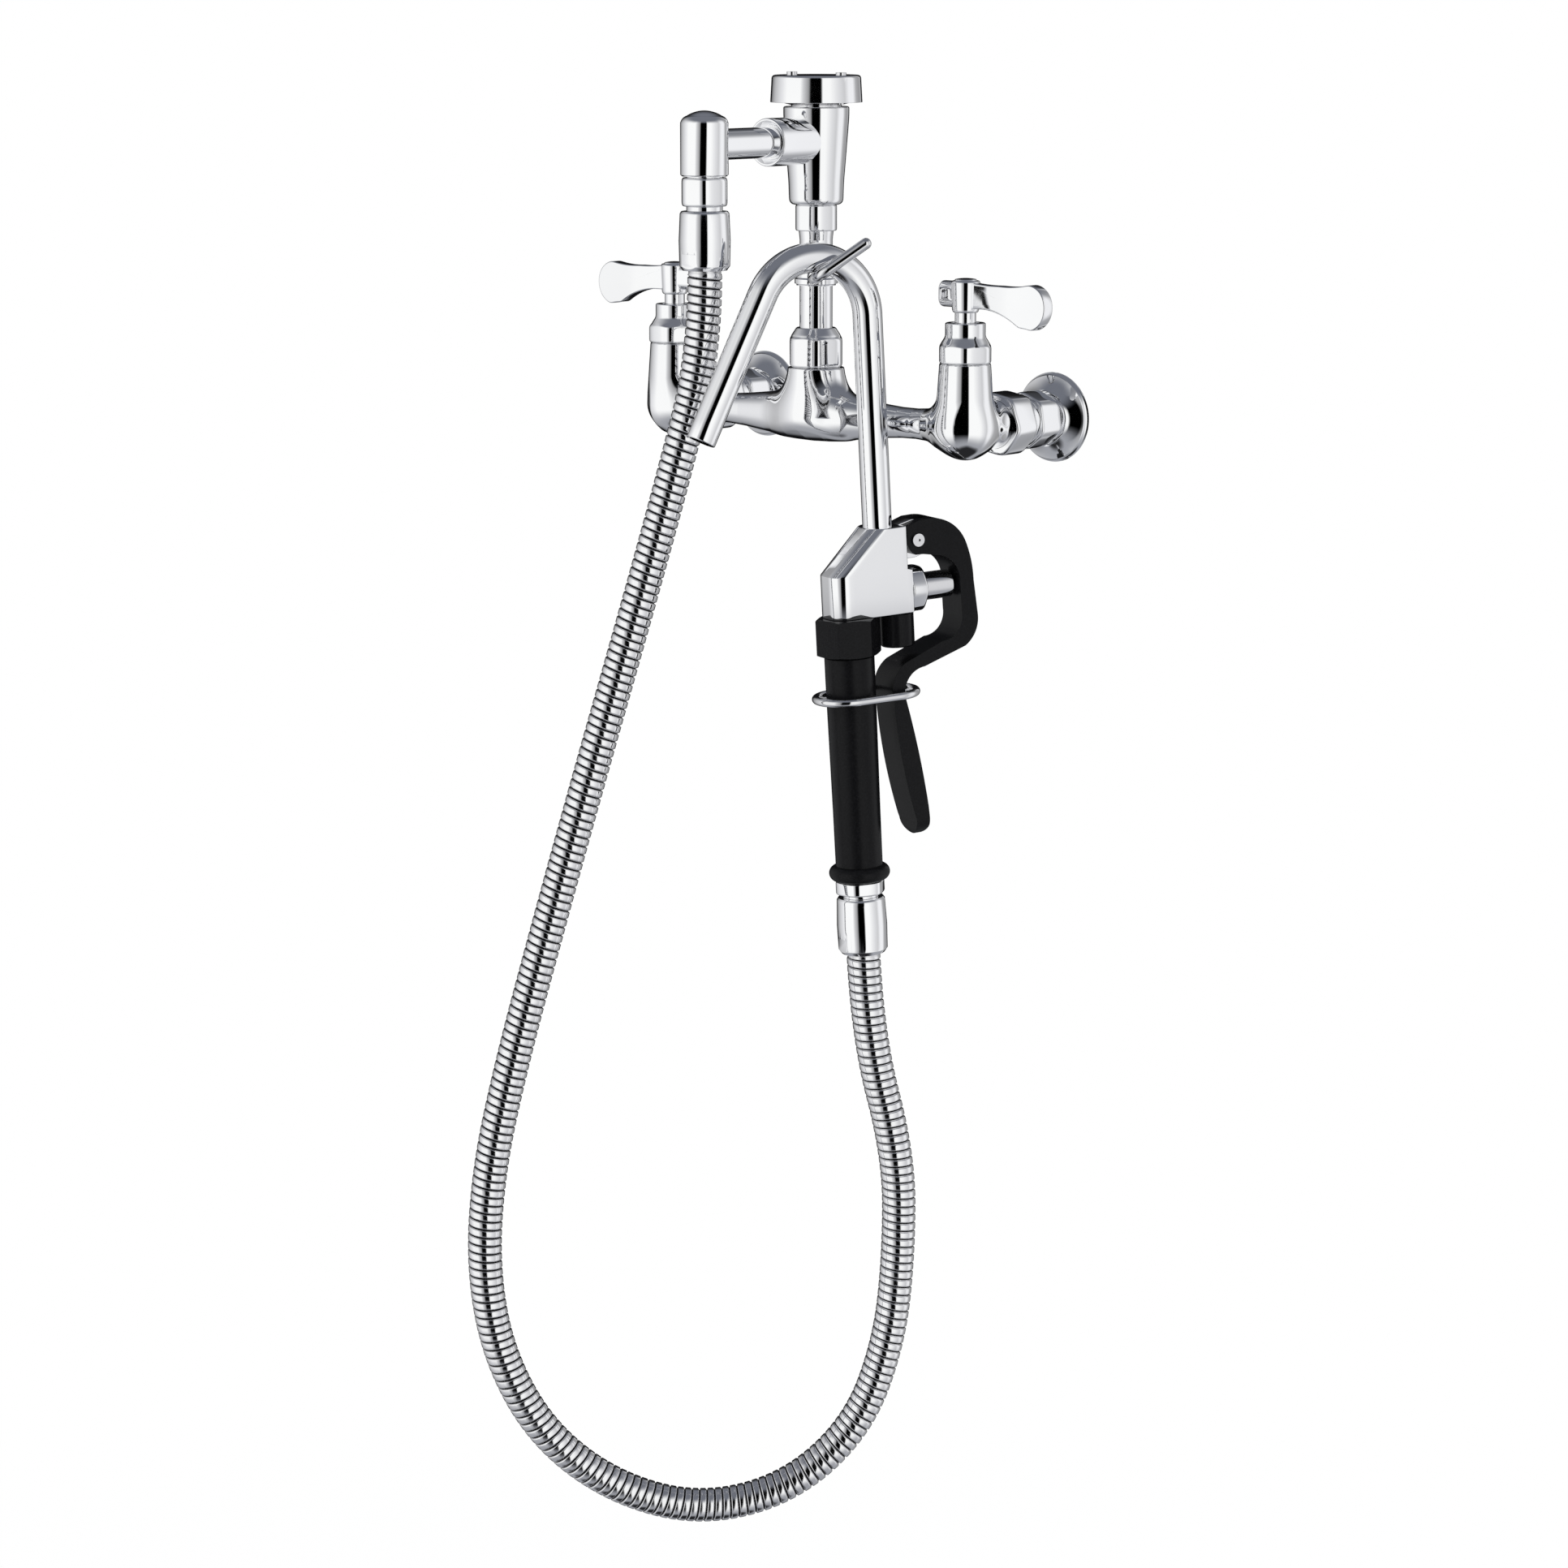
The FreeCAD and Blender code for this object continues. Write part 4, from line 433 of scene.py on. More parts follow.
def soften(node_name, width):
    """Copy a measured part, round each of its edges by a width in mm, and take its place."""
    source = nodes[node_name]
    mesh = source.data.copy()
    mesh.name = node_name + "_soft"
    work = bmesh.new()
    work.from_mesh(mesh)
    bmesh.ops.remove_doubles(work, verts=work.verts, dist=2e-6)
    bmesh.ops.dissolve_limit(work, angle_limit=FLAT, verts=work.verts, edges=work.edges)
    work.to_mesh(mesh)
    work.free()
    mesh.shade_smooth()
    mesh.set_sharp_from_angle(angle=EDGE)
    piece = bpy.data.objects.new(node_name + "_soft", mesh)
    bpy.context.scene.collection.objects.link(piece)
    rounding = piece.modifiers.new("rounding", "BEVEL")
    rounding.width = width * MM
    rounding.segments = 3
    rounding.limit_method = "ANGLE"
    rounding.angle_limit = EDGE
    rounding.harden_normals = True
    rounding.miter_outer = "MITER_ARC"
    mesh.materials.clear()
    mesh.materials.append(source.data.materials[0])
    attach(piece, body_of[node_name])
    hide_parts(node_name)
    return piece


CRISP = {
    "grip_nut": 0.45, "trigger_lever": 1.1, "breaker_cap": 0.3, "hose_top_ferrule": 0.35,
    "hose_bottom_ferrule": 0.35, "hook_ring": 0.25, "hose_elbow": 0.3, "lower_plug": 0.3,
}
for name, width in CRISP.items():
    soften(name, width)
print(len(CRISP), "parts with rounded edges")

# %% [markdown]
# ## Polished nuts
# The nuts are brass hexagons that were chamfered on a lathe and then polished on a soft wheel,
# which domes the flats and rounds the corners. A bevel on a sharp hexagon keeps its flats
# flat, and a flat mirror shows one tone only. So each nut is one surface: an outline walked
# along the axis, times a soft hexagon round it. Parts of the outline that are turned, such as
# collars and bores, leave the hexagon out.

# %% Surface of a nut
def walk_outline(stations, steps=8):
    """Walk a closed outline of (level, radius, hexness, fillet) and round its corners.

    A corner P becomes (1 - t)^2 A + 2 t (1 - t) P + t^2 B, where A and B lie the length of
    the fillet before and after it.
    """
    corners = np.array(stations, dtype=float)
    here, fillets = corners[:, :3], corners[:, 3]
    t = np.linspace(0.0, 1.0, steps)[:, None]
    rows = []
    for before, point, after, fillet in zip(np.roll(here, 1, axis=0), here,
                                            np.roll(here, -1, axis=0), fillets):
        if fillet == 0.0:
            rows.append(point[None, :])
            continue
        back, on = before - point, after - point
        start = point + back * min(0.49, fillet / np.linalg.norm(back[:2]))
        end = point + on * min(0.49, fillet / np.linalg.norm(on[:2]))
        rows.append((1 - t) ** 2 * start + 2 * t * (1 - t) * point + t ** 2 * end)
    return np.vstack(rows)


def nut_surface(stations, turn, softness, sides=120):
    """Radius = outline radius * (1 + hexness * (shape - 1)).

    The shape is a soft hexagon: the sum over its three pairs of flats of |cos| to the power
    of the softness, all to the power of -1 / softness. It is 1 in the middle of a flat.
    """
    angle = np.linspace(0.0, 2 * math.pi, sides, endpoint=False)
    flats_at = np.radians(turn + 30.0 + 60.0 * np.arange(3))
    shape = (np.abs(np.cos(angle[:, None] - flats_at)) ** softness).sum(axis=1) ** (-1 / softness)
    level, radius, hexness = walk_outline(stations).T
    reach = radius[:, None] * (1.0 + hexness[:, None] * (shape[None, :] - 1.0))
    return np.stack([reach * np.cos(angle), reach * np.sin(angle),
                     np.broadcast_to(level[:, None], reach.shape)], axis=-1)


def placed(points, matrix):
    """Points taken through a 4 by 4 matrix."""
    matrix = np.array(matrix)
    return points @ matrix[:3, :3].T + matrix[:3, 3]


def make_nut(name, stations, turn, matrix, softness=8.0):
    """Put the surface of a nut at its place and let it stand for the measured nut."""
    surface = placed(nut_surface(stations, turn, softness), matrix)
    mesh = build_mesh(name + "_polished", [(surface, True, True)], sharp=40.0)
    return make_piece(name + "_polished", mesh, body_of[name], chrome, "polished_chrome", name)


corner_rows = len(walk_outline([(0, 1, 0, 0.2), (1, 1, 0, 0), (0, 2, 0, 0)])) - 2
print("a rounded corner is walked in", corner_rows, "steps")

# %% Nuts along the pipes
UPRIGHT = Matrix.Translation((0.0, -REACH, 0.0))
TO_WALL = Matrix.Rotation(math.radians(-90.0), 4, "X")
SPACING = 101.6
ARM_REACH = 88.0
for side, label, turn in ((-1, "left", -4.0), (1, "right", 9.0)):
    at_valve = Matrix.Translation((SPACING * side, -REACH, 0.0))
    make_nut(label + "_bonnet", [
        (20.0, 8.9, 0, 0), (33.42, 8.9, 0, 0), (33.42, 13.5, 1, 1.6), (42.2, 13.5, 1, 1.6),
        (43.5, 12.8, 0.15, 0.5), (44.2, 12.4, 0, 0.4), (47.3, 10.5, 0, 1.2), (54.4, 10.5, 0, 0.9),
        (54.4, 7.4, 0, 0.2), (53.2, 7.4, 0, 0), (51.4, 5.8, 0, 0), (20.0, 5.8, 0, 0)],
        turn, at_valve)
    make_nut(label + "_coupling_nut", [
        (24.0, 12.9, 0, 0), (24.0, 15.75, 1, 3.0), (42.0, 15.75, 1, 3.4), (42.0, 9.1, 0, 0.3),
        (33.0, 9.1, 0, 0), (33.0, 12.9, 0, 0)], 10.0, at_valve @ TO_WALL, softness=10.0)
    make_nut(label + "_inlet", [
        (27.6, 5.6, 0, 0), (27.6, 12.0, 0, 0), (32.8, 12.0, 0, 0), (32.8, 9.0, 0, 0),
        (42.5, 9.0, 0, 0), (42.5, 12.6, 0, 0.5), (48.0, 12.6, 0, 0.3), (48.0, 14.0, 1, 2.2),
        (64.0, 14.0, 1, 2.2), (64.0, 12.4, 0, 0.3), (75.0, 12.4, 0, 0), (75.0, 9.3, 0, 0),
        (61.0, 9.3, 0, 0), (61.0, 5.6, 0, 0)], 22.0, at_valve @ TO_WALL, softness=10.0)
make_nut("riser_nut", [
    (25.7, 10.6, 0, 0), (25.7, 14.0, 1, 2.4), (40.8, 14.0, 1, 2.0), (42.0, 13.3, 0.15, 0.6),
    (43.0, 12.9, 0, 0.8), (46.8, 10.4, 0, 0.8), (46.8, 8.85, 0, 0), (32.7, 8.85, 0, 0),
    (30.7, 10.6, 0, 0)], 12.0, UPRIGHT)
make_nut("breaker_nut", [
    (97.8, 9.35, 0, 0), (97.8, 11.0, 1, 1.2), (111.38, 11.0, 1, 1.2), (111.38, 9.35, 0, 0)],
    11.0, UPRIGHT, softness=7.0)
make_nut("hose_top_nut", [
    (111.5, 5.0, 0, 0), (111.5, 9.4, 0, 0.4), (114.0, 9.4, 0, 0.4), (114.0, 11.85, 1, 2.6),
    (128.6, 11.85, 1, 2.6), (128.6, 9.4, 0, 0.3), (129.18, 9.4, 0, 0), (129.18, 7.6, 0, 0),
    (126.2, 7.6, 0, 0), (126.2, 5.0, 0, 0)],
    12.0, Matrix.Translation((0.0, -ARM_REACH - REACH, 0.0)), softness=7.0)
on_grip = in_hand @ Matrix.Translation((0.0, GRIP_AXIS, 0.0))
make_nut("handle_nut", [
    (-307.4, 5.0, 0, 0), (-307.4, 9.4, 0, 0.3), (-305.4, 9.4, 0, 0.3), (-305.4, 12.5, 1, 1.2),
    (-298.22, 12.5, 1, 1.2), (-298.22, 7.95, 0, 0), (-301.6, 7.95, 0, 0), (-301.6, 5.0, 0, 0)],
    19.0, on_grip)
at_plunger = in_hand @ Matrix.Translation((0.0, 0.0, -146.0)) @ TO_WALL
make_nut("plunger_bonnet", [
    (38.0, 7.45, 0, 0), (38.0, 8.45, 0, 0), (46.0, 8.45, 0, 0), (46.0, 12.0, 1, 0.8),
    (54.8, 12.0, 1, 1.8), (54.8, 7.45, 0, 0.3)], 0.0, at_plunger)

# %% [markdown]
# ## The lever handles
# A lever is a casting of three simple forms: a turned hub, a flat blade that flares towards
# its tip, and a short oval tail. The blade is a plate: its outline is drawn with arcs, and
# carried across its thickness with a small rounding. The thickness itself is a function of
# the distance from the hub, so the neck is thin and the tip is stout.

# %% Outlines
def outline_points(corners, steps=14):
    """A closed outline of (x, y) or (x, y, radius) corners, as points.

    A radius makes the way to the next corner a minor arc about a centre beside the chord,
    at centre + radius * (cos a, sin a). A positive one bulges to the left.
    """
    rows = []
    for index, corner in enumerate(corners):
        start = np.array(corner[:2], dtype=float)
        end = np.array(corners[(index + 1) % len(corners)][:2], dtype=float)
        share = np.linspace(0.0, 1.0, steps, endpoint=False)[:, None]
        if len(corner) == 2:
            rows.append(start + share * (end - start))
            continue
        chord = end - start
        half = np.linalg.norm(chord) / 2
        side = math.copysign(1.0, corner[2])
        left = np.array([-chord[1], chord[0]]) / (2 * half)
        radius = abs(corner[2])
        centre = (start + end) / 2 - left * side * math.sqrt(max(radius ** 2 - half ** 2, 0.0))
        first, last = (math.atan2(*(point - centre)[::-1]) for point in (start, end))
        turn = (last - first + math.pi) % (2 * math.pi) - math.pi
        angle = first + share[:, 0] * turn
        rows.append(centre + radius * np.stack([np.cos(angle), np.sin(angle)], axis=1))
    return np.vstack(rows)


def eased(outline, count=180, rounds=4):
    """The outline in even steps, its kinks eased by a running mean of 1, 2 and 1 quarters."""
    closed = np.vstack([outline, outline[:1]])
    gone = np.concatenate([[0.0], np.cumsum(np.linalg.norm(np.diff(closed, axis=0), axis=1))])
    even = np.linspace(0.0, gone[-1], count, endpoint=False)
    points = np.stack([np.interp(even, gone, closed[:, axis]) for axis in (0, 1)], axis=1)
    for _ in range(rounds):
        points = (np.roll(points, 1, axis=0) + 2 * points + np.roll(points, -1, axis=0)) / 4
    return points


print("a square is drawn with", len(outline_points([(0, 0), (1, 0), (1, 1), (0, 1)])), "points")

# %% Plates over an outline
PLATE_RIM = 0.25


def shrink(outline, inset):
    """Each point of an anticlockwise outline moved inwards along the outline's normal."""
    tangent = np.roll(outline, -1, axis=0) - np.roll(outline, 1, axis=0)
    normal = np.stack([-tangent[:, 1], tangent[:, 0]], axis=1)
    return outline + inset * normal / np.linalg.norm(normal, axis=1, keepdims=True)


def plate_surface(outline, half_at, rounding, steps=6):
    """(x, across, y) over an outline: across = half thickness at x, rounded at the edge.

    On the rounding, inset = r (1 - cos a) and across = half - r (1 - sin a). Inside it the
    rows shrink towards the middle of the outline.
    """
    angle = np.linspace(0.0, math.pi / 2, steps)
    insets = rounding * (1.0 - np.cos(angle))
    drops = rounding * (1.0 - np.sin(angle))
    edge = [shrink(outline, inset) for inset in insets]
    middle = outline.mean(axis=0)
    inside = shrink(outline, rounding + PLATE_RIM)
    inner = [middle + (inside - middle) * share for share in (1.0, 0.8, 0.6, 0.4, 0.2, 0.0)]
    flat = np.stack(edge + inner)
    across = half_at(flat[..., 0]) - np.concatenate([drops, np.zeros(len(inner))])[:, None]
    face = np.stack([flat[..., 0], across, flat[..., 1]], axis=-1)
    return np.concatenate([face[::-1] * [1.0, -1.0, 1.0], face])


print("a plate's flat face starts", PLATE_RIM, "mm inside its rounding")

# %% Lever handles
HUB = [(59.6, 4.02, 0, 0), (59.6, 6.3, 0, 0.5), (60.8, 7.0, 0, 0.8), (70.0, 7.4, 0, 1.0),
       (75.2, 7.6, 0, 0.5), (76.0, 6.9, 0, 0.3), (76.0, 3.7, 0, 0), (71.0, 3.7, 0, 0),
       (71.0, 4.02, 0, 0)]
BLADE = [(2, 61.8), (14, 61.8, 44), (37, 53.5, 26), (45, 52.4, -12), (54, 64.9, -11),
         (43.5, 75.7, 70), (24, 74.3, 120), (2, 75.7)]
TAIL = [(-4.4, 71.2), (-4.4, 66.4, -4.4), (0, 62.0, -4.4), (4.4, 66.4), (4.4, 71.2, -4.4),
        (0, 75.6, -4.4)]
BLADE_ROUND = 0.8


def blade_half(distance):
    """Half the blade's thickness: 2.7 + s * s * (3 - 2 s), with s from 0 at the hub to 1."""
    share = np.clip((distance - 2.0) / 30.0, 0.0, 1.0)
    return 2.7 + share * share * (3.0 - 2.0 * share)


def tail_surface(outline):
    """The oval carried out of the hub, rounded at its end, with a shallow oval recess."""
    rows = [(1.0, None), (1.0, 0.0), (13.6, 0.0), (14.3, 0.12), (14.8, 0.5), (15.0, 1.1),
            (15.0, 1.9), (14.8, 2.1), (13.6, 2.2), (13.4, 2.5), (13.4, None)]
    middle = np.broadcast_to(outline.mean(axis=0), outline.shape)
    flat = np.stack([middle if inset is None else shrink(outline, inset) for _, inset in rows])
    reach = np.broadcast_to(np.array([[-far] for far, _ in rows]), flat.shape[:2])
    return np.stack([reach, flat[..., 0], flat[..., 1]], axis=-1)


for side, label in ((-1, "left"), (1, "right")):
    at_valve = Matrix.Translation((SPACING * side, -REACH, 0.0))
    blade = plate_surface(eased(outline_points(BLADE)), blade_half, BLADE_ROUND)
    tail = tail_surface(outline_points(TAIL))
    hub = nut_surface(HUB, 0.0, 8.0, sides=72)
    mirrored = np.array([side, 1.0, 1.0])
    grids = [(placed(blade * mirrored, at_valve), False, True),
             (placed(tail * mirrored, at_valve), False, True),
             (placed(hub, at_valve), True, True)]
    name = label + "_lever"
    make_piece(name + "_cast", build_mesh(name + "_cast", grids, 40.0), body_of[name], chrome,
               "polished_chrome", name)
print("thickness of a blade at its tip", round(float(2.0 * blade_half(54.0)), 1), "mm")

# %% [markdown]
# ## The nozzle tube and the valve block
# The nozzle is one tube on a path of a straight leg, a bend and a straight outlet: each ring
# of the path is a circle square to it. The block that it stands in is a stack of rounded
# rectangles, whose nose steps back where the block slants.

# %% Nozzle tube
BEND, SWEEP, LEG_LOW, OUTLET = 32.0, math.radians(151.1), -124.0, 82.0
NOZZLE_RADIUS, NOZZLE_BORE = 7.75, 6.4
LIP_BACK, LIP_RADII = [0.25, 0.05, 0.0], [7.68, 7.45, 7.1]
leg_rows = np.linspace(LEG_LOW, 0.0, 12, endpoint=False)
bend_rows = np.linspace(0.0, SWEEP, 60)
out_rows = np.concatenate([np.linspace(0.0, OUTLET - 0.6, 10)[1:], OUTLET - np.array(LIP_BACK)])
plain_rows = len(leg_rows) + len(bend_rows) + len(out_rows) - len(LIP_RADII)
lip = np.concatenate([np.full(plain_rows, NOZZLE_RADIUS), LIP_RADII])
outlet_way = np.array([-math.sin(SWEEP), math.cos(SWEEP)])
path = np.vstack([
    np.stack([np.full(len(leg_rows), BEND), leg_rows], axis=1),
    BEND * np.stack([np.cos(bend_rows), np.sin(bend_rows)], axis=1),
    BEND * np.array([math.cos(SWEEP), math.sin(SWEEP)]) + out_rows[:, None] * outlet_way])
way = np.vstack([np.tile([0.0, 1.0], (len(leg_rows), 1)),
                 np.stack([-np.sin(bend_rows), np.cos(bend_rows)], axis=1),
                 np.tile(outlet_way, (len(out_rows), 1))])
around = np.linspace(0.0, 2 * math.pi, 64, endpoint=False)[None, :]


def tube_surface(path, way, radius):
    """Point = path + r cos a * x axis + r sin a * the direction square to the way."""
    radius = radius[:, None]
    square = np.stack([way[:, 1], -way[:, 0]], axis=1)
    flat = path[:, None, :] + (radius * np.sin(around))[..., None] * square[:, None, :]
    return np.stack([radius * np.cos(around), flat[..., 0], flat[..., 1]], axis=-1)


outer = tube_surface(path, way, lip)
inner = tube_surface(path, way, np.full(len(path), NOZZLE_BORE))[::-1]
make_piece("nozzle_bend", build_mesh(
    "nozzle_bend", [(placed(np.concatenate([outer, inner]), in_hand), True, True)], 50.0),
    body_of["nozzle_tube"], chrome, "polished_chrome", "nozzle_tube")

# %% Valve block
BLOCK_HALF, NOSE_ROUND, REAR_ROUND = 12.0, 8.6, 1.2
LUG_HALF, LUG_ROUND = 4.5, 0.4
levels = np.array([-157.0, -157.0, -156.8, -156.4, -134.3, -133.6, -111.4, -111.1, -111.0,
                   -111.0])
closing = np.array([True] + [False] * 8 + [True])
trims = np.array([0.0, 0.7, 0.2, 0.0, 0.0, 0.0, 0.0, 0.2, 0.6, 0.0])
noses = np.interp(levels, [-157.0, -134.2, -111.0], [0.0, 0.0, 23.6])
rears = np.where(levels < -133.9, 46.0, 43.2)
block_rows = []
for level, close, trim, nose, rear in zip(levels, closing, trims, noses, rears):
    section = outline_points([
        (-BLOCK_HALF, nose + NOSE_ROUND, -NOSE_ROUND), (-BLOCK_HALF + NOSE_ROUND, nose),
        (BLOCK_HALF - NOSE_ROUND, nose, -NOSE_ROUND), (BLOCK_HALF, nose + NOSE_ROUND),
        (BLOCK_HALF, rear - REAR_ROUND, -REAR_ROUND), (BLOCK_HALF - REAR_ROUND, rear),
        (-BLOCK_HALF + REAR_ROUND, rear, -REAR_ROUND), (-BLOCK_HALF, rear - REAR_ROUND)])
    middle = np.broadcast_to(section.mean(axis=0), section.shape)
    section = middle if close else shrink(section, trim)
    block_rows.append(np.column_stack([section, np.full(len(section), level)]))
LUG = [(41.2, -129.4), (50.0, -129.4, -10.2), (60.2, -119.2, -10.2), (50.0, -109.0),
       (41.2, -111.2)]
lug = plate_surface(outline_points(LUG), lambda where: np.full(where.shape, LUG_HALF),
                    LUG_ROUND)
lug = np.stack([lug[..., 1], lug[..., 0], lug[..., 2]], axis=-1)
make_piece("valve_block_cast", build_mesh("valve_block_cast", [
    (placed(np.stack(block_rows), in_hand), False, True), (placed(lug, in_hand), False, True)],
    30.0), body_of["valve_block"], chrome, "polished_chrome", "valve_block")

# %% [markdown]
# ## The body of the vacuum breaker
# The body is a tapered casting with a short round branch, and the two meet in a crisp curve.
# Both are turned shapes, so both come from the same outline walk with the hexagon left out.
# The branch's inner end follows the curve of the wall that it grows from.

# %% Breaker body and its branch
OUTLET_LEVEL = 145.0
BRANCH_LENGTH = 39.6
WALL_MIDDLE = 15.0
shell = nut_surface([
    (111.4, 7.0, 0, 0), (111.4, 14.3, 0, 3.4), (123.4, 14.7, 0, 2.0), (150.8, 16.9, 0, 3.0),
    (157.8, 17.4, 0, 2.0), (162.8, 17.4, 0, 1.1), (162.8, 13.4, 0, 0.3), (148.8, 13.4, 0, 0),
    (117.4, 11.3, 0, 0), (117.4, 7.0, 0, 0)], 0.0, 8.0, sides=160)
shell_mesh = build_mesh("breaker_shell", [(placed(shell, UPRIGHT), True, True)], 40.0)
make_piece("breaker_shell", shell_mesh, body_of["breaker_body"], chrome, "polished_chrome",
           "breaker_body")
branch = nut_surface([
    (0.0, 8.05, 0, 0), (0.0, 12.5, 0, 0), (BRANCH_LENGTH, 12.5, 0, 1.0),
    (BRANCH_LENGTH, 11.2, 0, 0.5), (BRANCH_LENGTH - 3.0, 8.8, 0, 0.3),
    (BRANCH_LENGTH - 3.0, 8.05, 0, 0)], 0.0, 8.0)
sideways, upward, outward = branch[..., 0], branch[..., 1], branch[..., 2]
inner_end = np.sqrt(WALL_MIDDLE ** 2 - sideways ** 2)
outward = np.maximum(outward, inner_end)
branch = np.stack([sideways, -outward, upward + OUTLET_LEVEL], axis=-1)
branch_mesh = build_mesh("breaker_branch", [(placed(branch, UPRIGHT), True, True)], 40.0)
make_piece("breaker_branch", branch_mesh, body_of["breaker_body"], chrome, "polished_chrome",
           "breaker_body")

# %% [markdown]
# ## The casting
# The bar, the two valve towers, the neck and the rear branches are one casting, so they flow
# into each other with wide, soft corners. Such a shape is easy to write as a field: the
# distance to each simple form, joined with a minimum that blends where two are close. The
# measured part, cut into small even faces, is moved onto the field's zero surface.

# %% Minimum and maximum with a soft corner
def soft_min(first, second, blend):
    """Polynomial smooth minimum: min(a, b) - h*h*blend/4 with h = max(blend - |a - b|, 0)/blend."""
    near = np.maximum(blend - np.abs(first - second), 0.0) / blend
    return np.minimum(first, second) - near * near * blend * 0.25


def soft_max(first, second, blend):
    """Smooth maximum: minus the smooth minimum of the two values' negatives."""
    return -soft_min(-first, -second, blend)


print("soft minimum of 1 and 1 over 4:", soft_min(1.0, 1.0, 4.0))

# %% Field of the casting
BAR_RADII = ([0, 12, 24, 36, 48, 60, 70, 78, 86, 102],
             [13.2, 12.8, 11.8, 10.4, 9.0, 8.1, 8.0, 8.6, 10.4, 11.0])
NECK_RADII = ([-20, 0, 8, 16, 25.7], [14.0, 15.6, 15.4, 15.0, 15.0])
TOWER_RADII = ([-20, 0, 6, 12, 33.4], [15.4, 15.4, 15.2, 14.8, 13.4])
BALL_RADIUS, BRANCH_RADIUS = 15.4, 12.8
TOWER_TOP, NECK_TOP, BRANCH_END = 33.4, 25.7, 25.0
TOWER_BORE, NECK_BORE, PORT_BORE = 9.0, 8.85, 8.6
WIDE_CORNER, SOFT_CORNER, CRISP_CORNER = 17.0, 9.0, 0.8


def casting_field(points):
    """Signed distance in mm, roughly, to the casting. Origin at the centre of the bar.

    A round form is the distance from its axis minus its radius there. Forms are joined with
    the soft minimum, and cut with the soft maximum.
    """
    x, y, z = points[:, 0], points[:, 1], points[:, 2]
    span = np.abs(x)
    side = span - SPACING
    bar = soft_max(np.hypot(y, z) - np.interp(span, *BAR_RADII), side, 1.0)
    from_neck = np.hypot(x, y)
    neck = soft_max(from_neck - np.interp(z, *NECK_RADII), -2.0 - z, 6.0)
    body = soft_min(bar, neck, WIDE_CORNER)
    from_tower = np.hypot(side, y)
    ball = np.sqrt(side ** 2 + y ** 2 + z ** 2) - BALL_RADIUS
    tower = np.where(z < 0.0, ball, from_tower - np.interp(z, *TOWER_RADII))
    branch = soft_max(np.hypot(side, z) - BRANCH_RADIUS, -y, 4.0)
    valve = soft_min(tower, branch, SOFT_CORNER)
    body = soft_min(body, valve, SOFT_CORNER)
    body = soft_max(body, z - np.where(span > 50.0, TOWER_TOP, NECK_TOP), CRISP_CORNER)
    body = soft_max(body, y - BRANCH_END, CRISP_CORNER)
    tower_bore = np.maximum(from_tower - TOWER_BORE, -0.6 - z)
    neck_bore = np.maximum(from_neck - NECK_BORE, 8.0 - z)
    port = np.maximum(np.hypot(side, z) - PORT_BORE, 8.0 - y)
    for bore in (tower_bore, neck_bore, port):
        body = soft_max(body, -bore, 0.5)
    return body


print("the field at the bar's centre:", casting_field(np.zeros((1, 3))).round(2), "mm")

# %% Moving points onto a field
def slope_of(points, field, step=0.02):
    """Gradient of a field, by the difference over a short step along each axis."""
    return np.stack([(field(points + step * axis) - field(points - step * axis)) / (2 * step)
                     for axis in np.eye(3)], axis=1)


def settle(points, field, rounds=6):
    """Move points along the field's gradient until the field is zero there."""
    for _ in range(rounds):
        slope = slope_of(points, field)
        size = np.maximum((slope ** 2).sum(axis=1), 0.2)
        points = points - np.clip(field(points) / size, -1.5, 1.5)[:, None] * slope
    return points


settled = settle(np.array([[50.0, 12.0, 0.0]]), casting_field)
print("a point 12 mm behind the bar's axis settles at", settled.round(2))

# %% Casting
BAR_CENTRE = np.array([0.0, -REACH, 0.0])
source = nodes["faucet_body"]
rough = source.data.copy()
work = bmesh.new()
work.from_mesh(rough)
bmesh.ops.remove_doubles(work, verts=work.verts, dist=2e-6)
work.to_mesh(rough)
work.free()
helper = bpy.data.objects.new("casting_rough", rough)
bpy.context.scene.collection.objects.link(helper)
even = helper.modifiers.new("even", "REMESH")
even.mode = "VOXEL"
even.voxel_size = 0.0008
bpy.context.view_layer.update()
casting_mesh = bpy.data.meshes.new_from_object(
    helper.evaluated_get(bpy.context.evaluated_depsgraph_get()))
bpy.data.objects.remove(helper)
bpy.data.meshes.remove(rough)
casting_points = np.empty(len(casting_mesh.vertices) * 3)
casting_mesh.vertices.foreach_get("co", casting_points)
casting_points = casting_points.reshape(-1, 3) / MM - BAR_CENTRE
casting_points = settle(casting_points, casting_field)
casting_mesh.vertices.foreach_set(
    "co", ((casting_points + BAR_CENTRE) * MM).astype(np.float32).ravel())
casting_mesh.update()
casting_mesh.shade_smooth()
casting_normals = slope_of(casting_points, casting_field, step=0.25)
casting_normals /= np.maximum(np.linalg.norm(casting_normals, axis=1, keepdims=True), 1e-6)
casting_mesh.normals_split_custom_set_from_vertices(casting_normals.tolist())
make_piece("casting", casting_mesh, "faucet", cast_chrome, "polished_chrome", "faucet_body")
